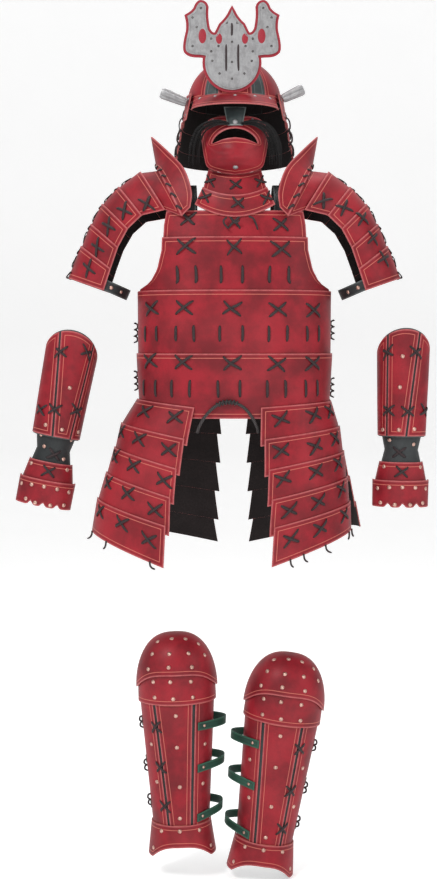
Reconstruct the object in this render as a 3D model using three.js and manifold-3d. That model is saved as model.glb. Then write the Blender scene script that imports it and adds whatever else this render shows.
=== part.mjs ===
import * as THREE from 'three';
import Module from 'manifold-3d';

const wasm = await Module();
wasm.setup();

// A set of laced leather armour in the old Japanese manner, in millimetres, +Z up, front towards -Y.
// The origin is on the middle plane at the height of the shoulders that carry the set.
// The side called left is the one at -X, on the left of someone who faces the armour.

// Driving sizes that several pieces share.
const LEATHER = 2.4; // one thickness of sole leather
const LAP = 12; // how far a lame reaches over the one above it
const AIR = 1.0; // play between lapped lames
const SHINGLE = LEATHER + AIR; // how far the top of a lame stands over the foot of the one above
const SEAM = 0.4; // play between pieces that touch
const STACK_STEP = 2.6; // ledge at the top of a lame in a joined stack
const FULL = Math.PI / 2;

const crimson = new THREE.Color(0.36, 0.035, 0.05);
const finishes = {
  redLeather: { color: crimson, roughness: 0.42, metalness: 0 },
  redBacking: { color: new THREE.Color(0.42, 0.03, 0.05), roughness: 0.45, metalness: 0 },
  darkLeather: { color: new THREE.Color(0.05, 0.06, 0.06), roughness: 0.5, metalness: 0 },
  silver: { color: new THREE.Color(0.42, 0.42, 0.4), roughness: 0.4, metalness: 0.8 },
  cord: { color: new THREE.Color(0.02, 0.018, 0.018), roughness: 0.7, metalness: 0 },
  hair: { color: new THREE.Color(0.012, 0.012, 0.013), roughness: 0.6, metalness: 0 },
  greenStrap: { color: new THREE.Color(0.02, 0.07, 0.04), roughness: 0.5, metalness: 0 },
};

const armour = new THREE.Group();

function addPiece(name, geometry, finish, parent = armour) {
  const mesh = new THREE.Mesh(geometry, new THREE.MeshStandardMaterial(finishes[finish]));
  mesh.name = name;
  parent.add(mesh);
  return mesh;
}

const vec = (x, y, z) => new THREE.Vector3(x, y, z);
const lerp = THREE.MathUtils.lerp;
const radians = THREE.MathUtils.degToRad;

// Reads a column of a table of rows at a value of its key column, straight between rows.
function read(table, key, value, column) {
  const rising = table[table.length - 1][key] > table[0][key];
  const rows = rising ? table : [...table].reverse();
  const next = rows.findIndex((row) => row[key] >= value);
  if (next === 0) return rows[0][column];
  if (next < 0) return rows[rows.length - 1][column];
  const below = rows[next - 1];
  const above = rows[next];
  const share = (value - below[key]) / (above[key] - below[key]);
  return lerp(below[column], above[column], share);
}

// Stations across or down a wall: where each lies, and how far the outer face rises there.
function stations(count, from = 0, to = 1) {
  return Array.from({ length: count + 1 }, (_, i) => ({ at: lerp(from, to, i / count), rise: 0 }));
}

// Merges equal corners, drops triangles of no area and turns the faces outwards.
function closedSolid(corners, triangles) {
  const places = new Map();
  const merged = [];
  const index = corners.map((corner) => {
    const key = corner.toArray().map((value) => Math.round(value * 1e4)).join();
    if (!places.has(key)) {
      places.set(key, merged.length);
      merged.push(corner);
    }
    return places.get(key);
  });
  const faces = triangles
    .map((triangle) => triangle.map((corner) => index[corner]))
    .filter(([a, b, c]) => a !== b && b !== c && c !== a);
  const volume = faces.reduce((sum, [a, b, c]) => {
    return sum + merged[a].dot(merged[b].clone().cross(merged[c]));
  }, 0);
  const outward = volume > 0 ? faces : faces.map(([a, b, c]) => [a, c, b]);
  const geometry = new THREE.BufferGeometry();
  geometry.setAttribute('position', new THREE.Float32BufferAttribute(merged.flatMap((p) => p.toArray()), 3));
  geometry.setIndex(outward.flat());
  return geometry;
}

function closedCopy(geometry) {
  const position = geometry.getAttribute('position');
  const count = position.count;
  const corners = Array.from({ length: count }, (_, i) => vec(0, 0, 0).fromBufferAttribute(position, i));
  const order = geometry.index ? Array.from(geometry.index.array) : corners.map((_, i) => i);
  const triangles = [];
  for (let i = 0; i < order.length; i += 3) triangles.push([order[i], order[i + 1], order[i + 2]]);
  return closedSolid(corners, triangles);
}

// A wall of sheet leather. surface(u, v, proud) gives the point that stands proud of the sheet's
// outer face; the inner face lies one thickness inside it and has no relief.
function wall({ surface, columns, rows, thickness = LEATHER, closed = false }) {
  const face = (proud) => rows.flatMap((row) => {
    return columns.map((column) => surface(column.at, row.at, proud(row, column)));
  });
  const outer = face((row, column) => row.rise + column.rise);
  const inner = face(() => -thickness);
  const corners = [...outer, ...inner];
  const width = columns.length;
  const height = rows.length;
  const place = (row, column, side) => side * width * height + row * width + (column % width);
  const triangles = [];
  const quad = (corner) => {
    const [a, b, c, d] = corner.map(([row, column, side]) => place(row, column, side));
    triangles.push([a, b, c], [a, c, d]);
  };
  const spans = closed ? width : width - 1;
  for (let i = 0; i < height - 1; i++) {
    for (let k = 0; k < spans; k++) {
      quad([[i, k, 0], [i + 1, k, 0], [i + 1, k + 1, 0], [i, k + 1, 0]]);
      quad([[i, k, 1], [i, k + 1, 1], [i + 1, k + 1, 1], [i + 1, k, 1]]);
    }
  }
  const foot = height - 1;
  for (let k = 0; k < spans; k++) {
    quad([[0, k, 0], [0, k + 1, 0], [0, k + 1, 1], [0, k, 1]]);
    quad([[foot, k, 0], [foot, k, 1], [foot, k + 1, 1], [foot, k + 1, 0]]);
  }
  const end = width - 1;
  for (let i = 0; i < height - 1 && !closed; i++) {
    quad([[i, 0, 0], [i, 0, 1], [i + 1, 0, 1], [i + 1, 0, 0]]);
    quad([[i, end, 0], [i + 1, end, 0], [i + 1, end, 1], [i, end, 1]]);
  }
  return closedSolid(corners, triangles);
}

// Gives a surface without thickness an offset along its own normal, on the side that sign names.
function thickened(surface, sign) {
  const nudge = 1e-3;
  return (u, v, proud) => {
    const across = surface(Math.min(u + nudge, 1), v).sub(surface(Math.max(u - nudge, 0), v));
    const down = surface(u, Math.min(v + nudge, 1)).sub(surface(u, Math.max(v - nudge, 0)));
    const normal = across.cross(down).normalize();
    return surface(u, v).addScaledVector(normal, sign * proud);
  };
}

const mirrored = (side, surface) => (u, v, proud) => {
  const point = surface(u, v, proud);
  point.x *= side;
  return point;
};

const SIDES = [
  { name: 'left', side: -1 },
  { name: 'right', side: 1 },
];

// Rows of a stack of lames: each lame stands a ledge proud at its top and runs flush at its foot.
function lameRows(count) {
  const rows = [];
  for (let lame = 0; lame < count; lame++) {
    rows.push({ at: lame / count, rise: lame === 0 ? 0 : STACK_STEP });
    rows.push({ at: (lame + 1) / count, rise: 0 });
  }
  return rows;
}

function toManifold(geometry) {
  const mesh = new wasm.Mesh({
    numProp: 3,
    vertProperties: new Float32Array(geometry.getAttribute('position').array),
    triVerts: new Uint32Array(geometry.index.array),
  });
  return new wasm.Manifold(mesh);
}

function joined(geometries) {
  const whole = geometries.map(toManifold).reduce((sum, solid) => sum.add(solid));
  const { vertProperties, triVerts } = whole.getMesh();
  const geometry = new THREE.BufferGeometry();
  geometry.setAttribute('position', new THREE.BufferAttribute(new Float32Array(vertProperties), 3));
  geometry.setIndex(new THREE.BufferAttribute(new Uint32Array(triVerts), 1));
  return geometry;
}

// A tube through given points: a section of a few sides with a radius for each step.
function taperedTube(points, radii, sides) {
  const corners = [];
  const last = points.length - 1;
  let reference = vec(0, 1, 0.2).normalize();
  points.forEach((point, i) => {
    const along = points[Math.min(i + 1, last)].clone().sub(points[Math.max(i - 1, 0)]).normalize();
    const first = reference.clone().addScaledVector(along, -reference.dot(along)).normalize();
    const second = along.clone().cross(first);
    reference = first;
    for (let k = 0; k < sides; k++) {
      const turn = (2 * Math.PI * k) / sides;
      const spoke = first.clone().multiplyScalar(Math.cos(turn)).addScaledVector(second, Math.sin(turn));
      corners.push(point.clone().addScaledVector(spoke, radii[i]));
    }
  });
  const triangles = [];
  for (let i = 0; i < last; i++) {
    for (let k = 0; k < sides; k++) {
      const a = i * sides + k;
      const b = i * sides + ((k + 1) % sides);
      triangles.push([a, b, b + sides], [a, b + sides, a + sides]);
    }
  }
  for (let k = 1; k < sides - 1; k++) {
    triangles.push([0, k + 1, k], [last * sides, last * sides + k, last * sides + k + 1]);
  }
  return closedSolid(corners, triangles);
}

// The trunk: every level of the cuirass is a squarish oval.
const TRUNK_POWER = 0.8;
const TRUNK = [
  { z: 20, halfWidth: 184, front: 112, back: 100 },
  { z: -45, halfWidth: 188, front: 119, back: 106 },
  { z: -96, halfWidth: 190, front: 126, back: 110 },
  { z: -200, halfWidth: 192, front: 132, back: 112 },
  { z: -330, halfWidth: 195, front: 130, back: 110 },
  { z: -450, halfWidth: 192, front: 130, back: 112 },
];

// A point of an oval with half-width a and depth b, at an angle from the middle of the front.
function oval(angle, a, b) {
  const across = Math.sin(angle);
  const ahead = Math.cos(angle);
  const x = a * Math.sign(across) * Math.abs(across) ** TRUNK_POWER;
  const y = -b * Math.sign(ahead) * Math.abs(ahead) ** TRUNK_POWER;
  return { x, y };
}

function ovalAngle(x, a) {
  return Math.asin(Math.min(Math.abs(x) / a, 1) ** (1 / TRUNK_POWER));
}

function trunkPoint(angle, z, proud, back = false) {
  const depth = read(TRUNK, 'z', z, back ? 'back' : 'front');
  const { x, y } = oval(angle, read(TRUNK, 'z', z, 'halfWidth') + proud, depth + proud);
  return vec(x, back ? -y : y, z);
}

// Cuirass: four lapped bands in front and four behind, cut away round the arms.
const SIDE_END = radians(89.98);
const ARMHOLE = [
  { z: -45, reach: 134 },
  { z: -72, reach: 139 },
  { z: -121, reach: 142 },
  { z: -159, reach: 152 },
  { z: -179, reach: 164 },
  { z: -192, reach: 178 },
  { z: -199, reach: 200 },
];
const BANDS = [
  { top: -45, foot: -108, levels: [-72] },
  { top: -96, foot: -212, levels: [-121, -145, -164, -180, -191, -199] },
  { top: -199, foot: -336, levels: [-265] },
  { top: -323, foot: -450, levels: [-386] },
];
const BAND_COLUMNS = 14;

function bandEnd(z) {
  return Math.min(ovalAngle(read(ARMHOLE, 'z', z, 'reach'), read(TRUNK, 'z', z, 'halfWidth')), SIDE_END);
}

function cuirassBand(band, back) {
  const lift = band.top === BANDS[0].top ? 0 : SHINGLE;
  const surface = (u, v, proud) => {
    const z = lerp(band.top, band.foot, v);
    return trunkPoint((2 * u - 1) * bandEnd(z), z, proud + lift * (1 - v), back);
  };
  const heights = [band.top, ...band.levels, band.foot];
  const rows = heights.map((z) => ({ at: (band.top - z) / (band.top - band.foot), rise: 0 }));
  return wall({ surface, columns: stations(BAND_COLUMNS), rows });
}

for (const [i, band] of BANDS.entries()) {
  addPiece(`cuirass_front_${i + 1}`, cuirassBand(band, false), 'redLeather');
  addPiece(`cuirass_back_${i + 1}`, cuirassBand(band, true), 'redLeather');
}

// Shoulder straps: inside the top bands in front and behind, and over the shoulder between them.
const STRAP = { inner: 76, outer: 120, tail: -84, shoulder: -45, crown: 14, tailShare: 0.18 };

function strapPoint(u, v, proud) {
  const x = lerp(STRAP.inner, STRAP.outer, u);
  const insideBand = -LEATHER - 2 * SEAM;
  const edge = (z, back) => {
    const halfWidth = read(TRUNK, 'z', z, 'halfWidth') + insideBand;
    return Math.abs(trunkPoint(ovalAngle(x, halfWidth), z, insideBand, back).y);
  };
  const { tailShare } = STRAP;
  if (v < tailShare) {
    const z = lerp(STRAP.tail, STRAP.shoulder, v / tailShare);
    return vec(x, -edge(z, false) - proud, z);
  }
  if (v > 1 - tailShare) {
    const z = lerp(STRAP.tail, STRAP.shoulder, (1 - v) / tailShare);
    return vec(x, edge(z, true) + proud, z);
  }
  const turn = (Math.PI * (v - tailShare)) / (1 - 2 * tailShare);
  const depth = edge(STRAP.shoulder, turn > FULL);
  const z = STRAP.shoulder + (STRAP.crown - STRAP.shoulder + proud) * Math.sin(turn);
  return vec(x, -Math.cos(turn) * (depth + proud), z);
}

for (const { name, side } of SIDES) {
  const strap = wall({ surface: mirrored(side, strapPoint), columns: stations(2), rows: stations(16) });
  addPiece(`shoulder_strap_${name}`, strap, 'darkLeather');
}

// Throat guard: two lames that hang under the chin and flatten out on the chest.
const THROAT_LAMES = [
  {
    name: 'throat_guard_upper', lift: 0,
    topZ: 28, topRise: 12, footZ: -28, footRise: 20,
    topHalf: 52, footHalf: 64, topDepth: 89.1, footDepth: 116.5, topBend: 0.0085, footBend: 0.0042,
  },
  {
    name: 'throat_guard_lower', lift: SHINGLE,
    topZ: -15, topRise: 17, footZ: -58, footRise: 25,
    topHalf: 63, footHalf: 78, topDepth: 113.9, footDepth: 124, topBend: 0.0045, footBend: 0.0008,
  },
];

for (const lame of THROAT_LAMES) {
  const surface = (u, v, proud) => {
    const share = 2 * u - 1;
    const x = share * lerp(lame.topHalf, lame.footHalf, v);
    const z = lerp(lame.topZ, lame.footZ, v) + lerp(lame.topRise, lame.footRise, v) * share ** 2;
    const depth = lerp(lame.topDepth, lame.footDepth, v) - lerp(lame.topBend, lame.footBend, v) * x ** 2;
    return vec(x, -depth - proud - lame.lift * (1 - v), z);
  };
  addPiece(lame.name, wall({ surface, columns: stations(10), rows: stations(2) }), 'redLeather');
}

// Face mask: a bowed half mask with an open mouth, from the cheeks to under the chin.
const MASK = { halfWidth: 74, rear: -45, chinHeight: 64, chinProud: 6, chinWide: 32, chinTall: 20 };
const MASK_DEPTH = [
  { z: 158, depth: 60 },
  { z: 132, depth: 70 },
  { z: 117, depth: 75 },
  { z: 100, depth: 77 },
  { z: 72, depth: 79 },
  { z: 55, depth: 78 },
  { z: 42, depth: 68 },
  { z: 26, depth: 48 },
];
// One half, from the top middle to the bottom middle: the lip of the mouth and the outer edge.
const MASK_LOOPS = [
  { lipX: 0, lipZ: 112, edgeX: 0, edgeZ: 131 },
  { lipX: 15, lipZ: 110, edgeX: 26, edgeZ: 136 },
  { lipX: 29, lipZ: 104, edgeX: 51, edgeZ: 131 },
  { lipX: 40, lipZ: 95, edgeX: 65, edgeZ: 112 },
  { lipX: 45, lipZ: 84, edgeX: 64, edgeZ: 84 },
  { lipX: 34, lipZ: 87, edgeX: 60, edgeZ: 60 },
  { lipX: 22, lipZ: 91, edgeX: 53, edgeZ: 40 },
  { lipX: 10, lipZ: 93, edgeX: 28, edgeZ: 30 },
  { lipX: 0, lipZ: 94, edgeX: 0, edgeZ: 26 },
];

function maskFront(x, z) {
  const bow = Math.sqrt(1 - Math.min(Math.abs(x) / MASK.halfWidth, 0.98) ** 2);
  const chin = Math.exp(-((x / MASK.chinWide) ** 2) - ((z - MASK.chinHeight) / MASK.chinTall) ** 2);
  return MASK.rear - read(MASK_DEPTH, 'z', z, 'depth') * bow - MASK.chinProud * chin;
}

const maskRing = [
  ...MASK_LOOPS,
  ...MASK_LOOPS.slice(1, -1).reverse().map((row) => ({ ...row, lipX: -row.lipX, edgeX: -row.edgeX })),
];

function maskPoint(u, v, proud) {
  const { lipX, lipZ, edgeX, edgeZ } = maskRing[Math.round(u) % maskRing.length];
  const x = lerp(lipX, edgeX, v);
  const z = lerp(lipZ, edgeZ, v);
  return vec(x * (1 + proud / MASK.halfWidth), maskFront(x, z) - proud, z);
}

const maskColumns = maskRing.map((_, i) => ({ at: i, rise: 0 }));
const maskFace = wall({ surface: maskPoint, columns: maskColumns, rows: stations(4), closed: true });
addPiece('mask_face', maskFace, 'redLeather');

const NOSE = { top: 155, foot: 117, topHalf: 22, footHalf: 15, thickness: 1.6, bridge: 7 };

function nosePoint(u, v, proud) {
  const share = 2 * u - 1;
  const x = share * lerp(NOSE.topHalf, NOSE.footHalf, v);
  const z = lerp(NOSE.top, NOSE.foot, v);
  const bridge = NOSE.bridge * Math.sin(Math.PI * v) * (1 - share ** 2);
  return vec(x, maskFront(x, z) - SEAM - NOSE.thickness - bridge - proud, z);
}

const nosePlate = wall({
  surface: nosePoint, columns: stations(4), rows: stations(4), thickness: NOSE.thickness,
});
addPiece('mask_nose_plate', nosePlate, 'darkLeather');

// Moustache: locks that part under the nose, sweep over the cheeks and hang beside the chin.
const MOUSTACHE = {
  lanes: 5, layers: 3, steps: 4, root: 1.0, tip: 0.5, rootWide: 2.6, wide: 15, rootDeep: 1.8, deep: 5,
};
const MOUSTACHE_ROOT = { stepsX: [10, 14, 18, 21], radii: [2.4, 3.0, 4.2, 3.2], y: -124, z: 120 };
const MOUSTACHE_ROUTE = new THREE.CatmullRomCurve3([
  vec(12, -124, 120), vec(36, -122.4, 122), vec(62, -112, 112),
  vec(76, -101, 88), vec(80, -97, 56), vec(78, -97, 26),
]);

function moustacheLock(lane, layer) {
  const across = (2 * lane) / (MOUSTACHE.lanes - 1) - 1;
  const deep = (2 * layer) / (MOUSTACHE.layers - 1) - 1;
  const points = [];
  const radii = [];
  for (let step = 0; step <= MOUSTACHE.steps; step++) {
    const share = step / MOUSTACHE.steps;
    const centre = MOUSTACHE_ROUTE.getPoint(share);
    const along = MOUSTACHE_ROUTE.getTangent(share);
    const ahead = vec(-0.35, -0.94, 0);
    const sideways = along.clone().cross(ahead).normalize();
    const spread = lerp(MOUSTACHE.rootWide, MOUSTACHE.wide, share ** 0.8);
    const depth = lerp(MOUSTACHE.rootDeep, MOUSTACHE.deep, share ** 0.8);
    points.push(centre.addScaledVector(sideways, across * spread).addScaledVector(ahead, deep * depth));
    radii.push(lerp(MOUSTACHE.root, MOUSTACHE.tip, share));
  }
  return { points, radii };
}

for (const { name, side } of SIDES) {
  const flip = (point) => vec(point.x * side, point.y, point.z);
  const rootSteps = MOUSTACHE_ROOT.stepsX.map((x) => flip(vec(x, MOUSTACHE_ROOT.y, MOUSTACHE_ROOT.z)));
  const root = taperedTube(rootSteps, MOUSTACHE_ROOT.radii, 8);
  const locks = [];
  for (let lane = 0; lane < MOUSTACHE.lanes; lane++) {
    for (let layer = 0; layer < MOUSTACHE.layers; layer++) {
      const { points, radii } = moustacheLock(lane, layer);
      locks.push(taperedTube(points.map(flip), radii, 3));
    }
  }
  addPiece(`mask_moustache_${name}`, joined([root, ...locks]), 'hair');
}

// Helmet: a bowl of gores, a visor over the brow, a neck guard of three lames and turned-back flaps.
const HELMET = { halfWidth: 94, front: 116, back: 120, rim: 172, height: 92 };

function bowlPoint(u, v, proud) {
  const angle = 2 * Math.PI * u;
  const fall = FULL * v;
  const depth = Math.cos(angle) > 0 ? HELMET.front : HELMET.back;
  const x = (HELMET.halfWidth + proud) * Math.sin(angle) * Math.sin(fall);
  const y = -(depth + proud) * Math.cos(angle) * Math.sin(fall);
  return vec(x, y, HELMET.rim + (HELMET.height + proud) * Math.cos(fall));
}

const bowlColumns = stations(20).slice(0, -1);
const bowl = wall({ surface: bowlPoint, columns: bowlColumns, rows: stations(6), closed: true });
addPiece('helmet_bowl', bowl, 'redLeather');

const VISOR = { end: 56, top: 180, drop: 26, reach: 46, endReach: 10 };

function visorPoint(u, v, proud) {
  const turn = 2 * u - 1;
  const angle = radians(VISOR.end) * turn;
  const reach = v * lerp(VISOR.reach, VISOR.endReach, turn ** 2) + SEAM / 2;
  const x = (HELMET.halfWidth + reach) * Math.sin(angle);
  const y = -(HELMET.front + reach) * Math.cos(angle);
  return vec(x, y, VISOR.top - VISOR.drop * v + proud);
}

const visor = wall({ surface: visorPoint, columns: stations(12), rows: stations(2) });
addPiece('helmet_visor', visor, 'redLeather');

const NECK_GUARD = {
  start: 76, top: 175, foot: 60, lames: 3, flare: 23, backFlare: 38, stand: LEATHER + 0.6,
};

function neckGuardPoint(u, v, proud) {
  const angle = radians(lerp(NECK_GUARD.start, 360 - NECK_GUARD.start, u));
  const stand = NECK_GUARD.stand + proud;
  const depth = Math.cos(angle) > 0 ? HELMET.front : HELMET.back;
  const x = (HELMET.halfWidth + stand + NECK_GUARD.flare * v) * Math.sin(angle);
  const y = -(depth + stand + NECK_GUARD.backFlare * v) * Math.cos(angle);
  return vec(x, y, lerp(NECK_GUARD.top, NECK_GUARD.foot, v));
}

const neckGuard = wall({ surface: neckGuardPoint, columns: stations(16), rows: lameRows(NECK_GUARD.lames) });
addPiece('helmet_neck_guard', neckGuard, 'redLeather');

const FLAP = {
  top: 188, foot: 136, frontTop: 86, frontFoot: 97, rearTop: 96, rearFoot: 104,
  frontY: -66, rearTopY: -29.6, rearFootY: -33,
};

function flapPoint(u, v, proud) {
  const x = lerp(lerp(FLAP.frontTop, FLAP.frontFoot, v), lerp(FLAP.rearTop, FLAP.rearFoot, v), u);
  const y = lerp(FLAP.frontY, lerp(FLAP.rearTopY, FLAP.rearFootY, v), u);
  return vec(x + proud, y, lerp(FLAP.top, FLAP.foot, v));
}

// The rolled scrolls at the temples stand out from the flaps.
const SCROLL = { radii: [9, 10.5, 12], sides: 12 };
const SCROLL_ENDS = {
  left: { root: vec(-94.7, -58, 170), tip: vec(-145, -58, 190) },
  right: { root: vec(94.1, -58, 178), tip: vec(135, -58, 197) },
};

for (const { name, side } of SIDES) {
  const flap = wall({ surface: mirrored(side, flapPoint), columns: stations(2), rows: stations(2) });
  addPiece(`helmet_flap_${name}`, flap, 'redLeather');
  const { root, tip } = SCROLL_ENDS[name];
  const along = tip.clone().sub(root);
  const steps = [0, 0.5, 1].map((share) => root.clone().addScaledVector(along, share));
  addPiece(`helmet_scroll_${name}`, taperedTube(steps, SCROLL.radii, SCROLL.sides), 'silver');
}

// Crest: two broad horns and a leaf over a round plate, on a backing that shows all round.
const CREST = { centreX: -6, centreZ: 237, radius: 52, back: -116, plate: 2, backing: 2.5, margin: 5 };

function crestOutline() {
  const half = new THREE.Path();
  half.moveTo(0, 338);
  half.quadraticCurveTo(5, 322, 21, 308);
  half.quadraticCurveTo(26, 298, 30, 290);
  half.quadraticCurveTo(40, 286, 46, 300);
  half.quadraticCurveTo(52, 322, 50, 344);
  half.lineTo(61, 336);
  half.lineTo(72, 352);
  half.quadraticCurveTo(92, 322, 88, 282);
  half.quadraticCurveTo(85, 256, 71, 252);
  half.quadraticCurveTo(58, 252, 50, 250);
  const right = half.getPoints(4).slice(1);
  const arc = [];
  const shoulder = Math.asin((250 - CREST.centreZ) / CREST.radius);
  for (let i = 1; i < 14; i++) {
    const turn = lerp(shoulder, -Math.PI - shoulder, i / 14);
    arc.push(new THREE.Vector2(CREST.radius * Math.cos(turn), CREST.centreZ + CREST.radius * Math.sin(turn)));
  }
  const left = [...right].reverse().map((point) => new THREE.Vector2(-point.x, point.y));
  return [new THREE.Vector2(0, 338), ...right, ...arc, ...left];
}

// Moves a clockwise outline outwards by a margin, with its corners held to a short mitre.
function grown(points, margin) {
  const count = points.length;
  return points.map((point, i) => {
    const before = point.clone().sub(points[(i + count - 1) % count]).normalize();
    const after = points[(i + 1) % count].clone().sub(point).normalize();
    const normal = new THREE.Vector2(-before.y - after.y, before.x + after.x).normalize();
    const mitre = Math.min(1 / Math.max(normal.dot(new THREE.Vector2(-after.y, after.x)), 0.1), 1.6);
    return point.clone().addScaledVector(normal, margin * mitre);
  });
}

function crestLayer(points, thickness, back) {
  const shape = new THREE.Shape(points.map((point) => new THREE.Vector2(point.x + CREST.centreX, point.y)));
  const geometry = new THREE.ExtrudeGeometry(shape, { depth: thickness, bevelEnabled: false });
  geometry.rotateX(FULL);
  geometry.translate(0, back, 0);
  return closedCopy(geometry);
}

const crestPoints = crestOutline();
const crestBacking = crestLayer(grown(crestPoints, CREST.margin), CREST.backing, CREST.back);
addPiece('helmet_crest_backing', crestBacking, 'redBacking');
const plateBack = CREST.back - CREST.backing - SEAM;
addPiece('helmet_crest_plate', crestLayer(crestPoints, CREST.plate, plateBack), 'silver');

// Shoulder yokes and shoulder guards: half tubes round the shoulder and the upper arm. Each row is
// one edge across the arm: the point below its crown, the crown itself and the half depth.
const ARM = [
  { s: 0, midX: 104, midZ: -54, crownX: 152, crownZ: 43, depth: 120.6 },
  { s: 1, midX: 138, midZ: -40, crownX: 188, crownZ: 40, depth: 97.3 },
  { s: 2, midX: 184, midZ: -50, crownX: 232, crownZ: 10, depth: 84 },
  { s: 3, midX: 212, midZ: -76, crownX: 265, crownZ: -24, depth: 79 },
  { s: 4, midX: 232, midZ: -112, crownX: 288, crownZ: -64, depth: 75 },
  { s: 5, midX: 247, midZ: -154, crownX: 308, crownZ: -108, depth: 72 },
  { s: 6, midX: 262, midZ: -198, crownX: 336, crownZ: -172, depth: 70 },
];
const ARM_WRAP = radians(92);
const YOKE = { start: 0, foot: 1.35, drop: 1.6 };
const SODE = { start: 1, foot: 6, lames: 5 };

function armEdgePoint(edge, angle, proud) {
  const mid = vec(edge.midX, 0, edge.midZ);
  const crown = vec(edge.crownX, 0, edge.crownZ).sub(mid);
  const height = crown.length() + proud;
  mid.addScaledVector(crown.normalize(), height * Math.cos(angle));
  return mid.setY((edge.depth + proud) * Math.sin(angle));
}

// Between two edges the leather runs straight.
function armPoint(u, s, proud) {
  const angle = ARM_WRAP * (2 * u - 1);
  const first = Math.min(Math.floor(s), ARM.length - 2);
  const start = armEdgePoint(ARM[first], angle, proud);
  return start.lerp(armEdgePoint(ARM[first + 1], angle, proud), s - first);
}

function yokePoint(u, v, proud) {
  return armPoint(u, lerp(YOKE.start, YOKE.foot, v), proud - YOKE.drop * v);
}

function sodePoint(u, v, proud) {
  return armPoint(u, lerp(SODE.start, SODE.foot, v), proud + STACK_STEP * Math.max(0, 1 - SODE.lames * v));
}

// Collar wings: scoops that stand up off the inner edge of the yokes and lean out over them.
// Each row is a place on the free edge, from the chest to the top of the shoulder.
const WING_EDGE = [
  { x: 86, y: -124, z: -40 },
  { x: 84, y: -116, z: -8 },
  { x: 98, y: -96, z: 36 },
  { x: 127, y: -58, z: 72 },
  { x: 166, y: 0, z: 112 },
];
const WING_REAR = 0.94;
const wingFront = WING_EDGE.map(({ x, y, z }) => vec(x, y, z));
const wingRear = WING_EDGE.slice(0, -1).reverse().map(({ x, y, z }) => vec(x, -y * WING_REAR, z));
const WING_CURVE = new THREE.CatmullRomCurve3([...wingFront, ...wingRear]);
const WING_FOOT = { s: 0.03, stand: LEATHER + SEAM };

function wingSurface(u, v) {
  return WING_CURVE.getPoint(u).lerp(armPoint(u, WING_FOOT.s, WING_FOOT.stand), v);
}

// Arm straps: closed hoops just inside the last lame, flatter on the side of the body.
const ARM_STRAP = {
  s: 5.75, width: 22, thickness: 2, columns: 20, inset: LEATHER + 3 * SEAM, bodyShare: 0.62,
};

function armStrapPoint(u, v, proud) {
  const angle = 2 * Math.PI * u;
  const s = ARM_STRAP.s;
  const mid = vec(read(ARM, 's', s, 'midX'), 0, read(ARM, 's', s, 'midZ'));
  const crown = vec(read(ARM, 's', s, 'crownX'), 0, read(ARM, 's', s, 'crownZ')).sub(mid);
  const height = crown.length();
  const outward = Math.cos(angle) > 0 ? height - ARM_STRAP.inset : height * ARM_STRAP.bodyShare;
  const depth = read(ARM, 's', s, 'depth') - ARM_STRAP.inset;
  const axis = crown.clone().normalize();
  const along = vec(axis.z, 0, -axis.x);
  mid.addScaledVector(axis, (outward + proud) * Math.cos(angle)).setY((depth + proud) * Math.sin(angle));
  return mid.addScaledVector(along, ARM_STRAP.width * (v - 0.5));
}

for (const { name, side } of SIDES) {
  const yokeRows = [0, 0.5, 1, YOKE.foot].map((s) => ({ at: s / YOKE.foot, rise: 0 }));
  const yoke = wall({ surface: mirrored(side, yokePoint), columns: stations(14), rows: yokeRows });
  addPiece(`shoulder_yoke_${name}`, yoke, 'redLeather');
  const wing = mirrored(side, thickened(wingSurface, 1));
  const collar = wall({ surface: wing, columns: stations(14), rows: stations(2) });
  addPiece(`collar_wing_${name}`, collar, 'redLeather');
  const sodeRows = lameRows(SODE.lames);
  const sode = wall({ surface: mirrored(side, sodePoint), columns: stations(14), rows: sodeRows });
  addPiece(`shoulder_guard_${name}`, sode, 'redLeather');
  const strap = wall({
    surface: mirrored(side, armStrapPoint),
    columns: stations(ARM_STRAP.columns).slice(0, -1),
    rows: stations(1),
    thickness: ARM_STRAP.thickness,
    closed: true,
  });
  addPiece(`arm_strap_${name}`, strap, 'darkLeather');
}

// Tassets: stacks of five lames that hang from the waist, two in front and two behind.
// Each row is a lame's top edge, and the last the hem: the outer corner, then the inner one.
const TASSET_LAMES = 5;
const TASSET_TABLES = {
  front_left: [
    { s: 0, outerX: 196.8, outerZ: -414, innerX: 77, innerZ: -428, depth: 133.7 },
    { s: 1, outerX: 227, outerZ: -462, innerX: 95, innerZ: -489, depth: 142 },
    { s: 2, outerX: 241, outerZ: -511, innerX: 110, innerZ: -547, depth: 150 },
    { s: 3, outerX: 258, outerZ: -562, innerX: 122, innerZ: -603, depth: 158 },
    { s: 4, outerX: 276, outerZ: -614, innerX: 131, innerZ: -658, depth: 166 },
    { s: 5, outerX: 290, outerZ: -682, innerX: 144, innerZ: -737, depth: 177 },
  ],
  front_right: [
    { s: 0, outerX: 196.8, outerZ: -418, innerX: 48, innerZ: -428, depth: 133.7 },
    { s: 1, outerX: 212, outerZ: -469, innerX: 54, innerZ: -490, depth: 140 },
    { s: 2, outerX: 221, outerZ: -519, innerX: 62, innerZ: -549, depth: 147 },
    { s: 3, outerX: 228, outerZ: -571, innerX: 68, innerZ: -607, depth: 154 },
    { s: 4, outerX: 234, outerZ: -621, innerX: 72, innerZ: -661, depth: 160 },
    { s: 5, outerX: 239, outerZ: -678, innerX: 77, innerZ: -735, depth: 168 },
  ],
  back: [
    { s: 0, outerX: 196.8, outerZ: -416, innerX: 30, innerZ: -420, depth: 115.4 },
    { s: 5, outerX: 262, outerZ: -680, innerX: 42, innerZ: -728, depth: 158 },
  ],
};
const TASSET_END = radians(86);

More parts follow.
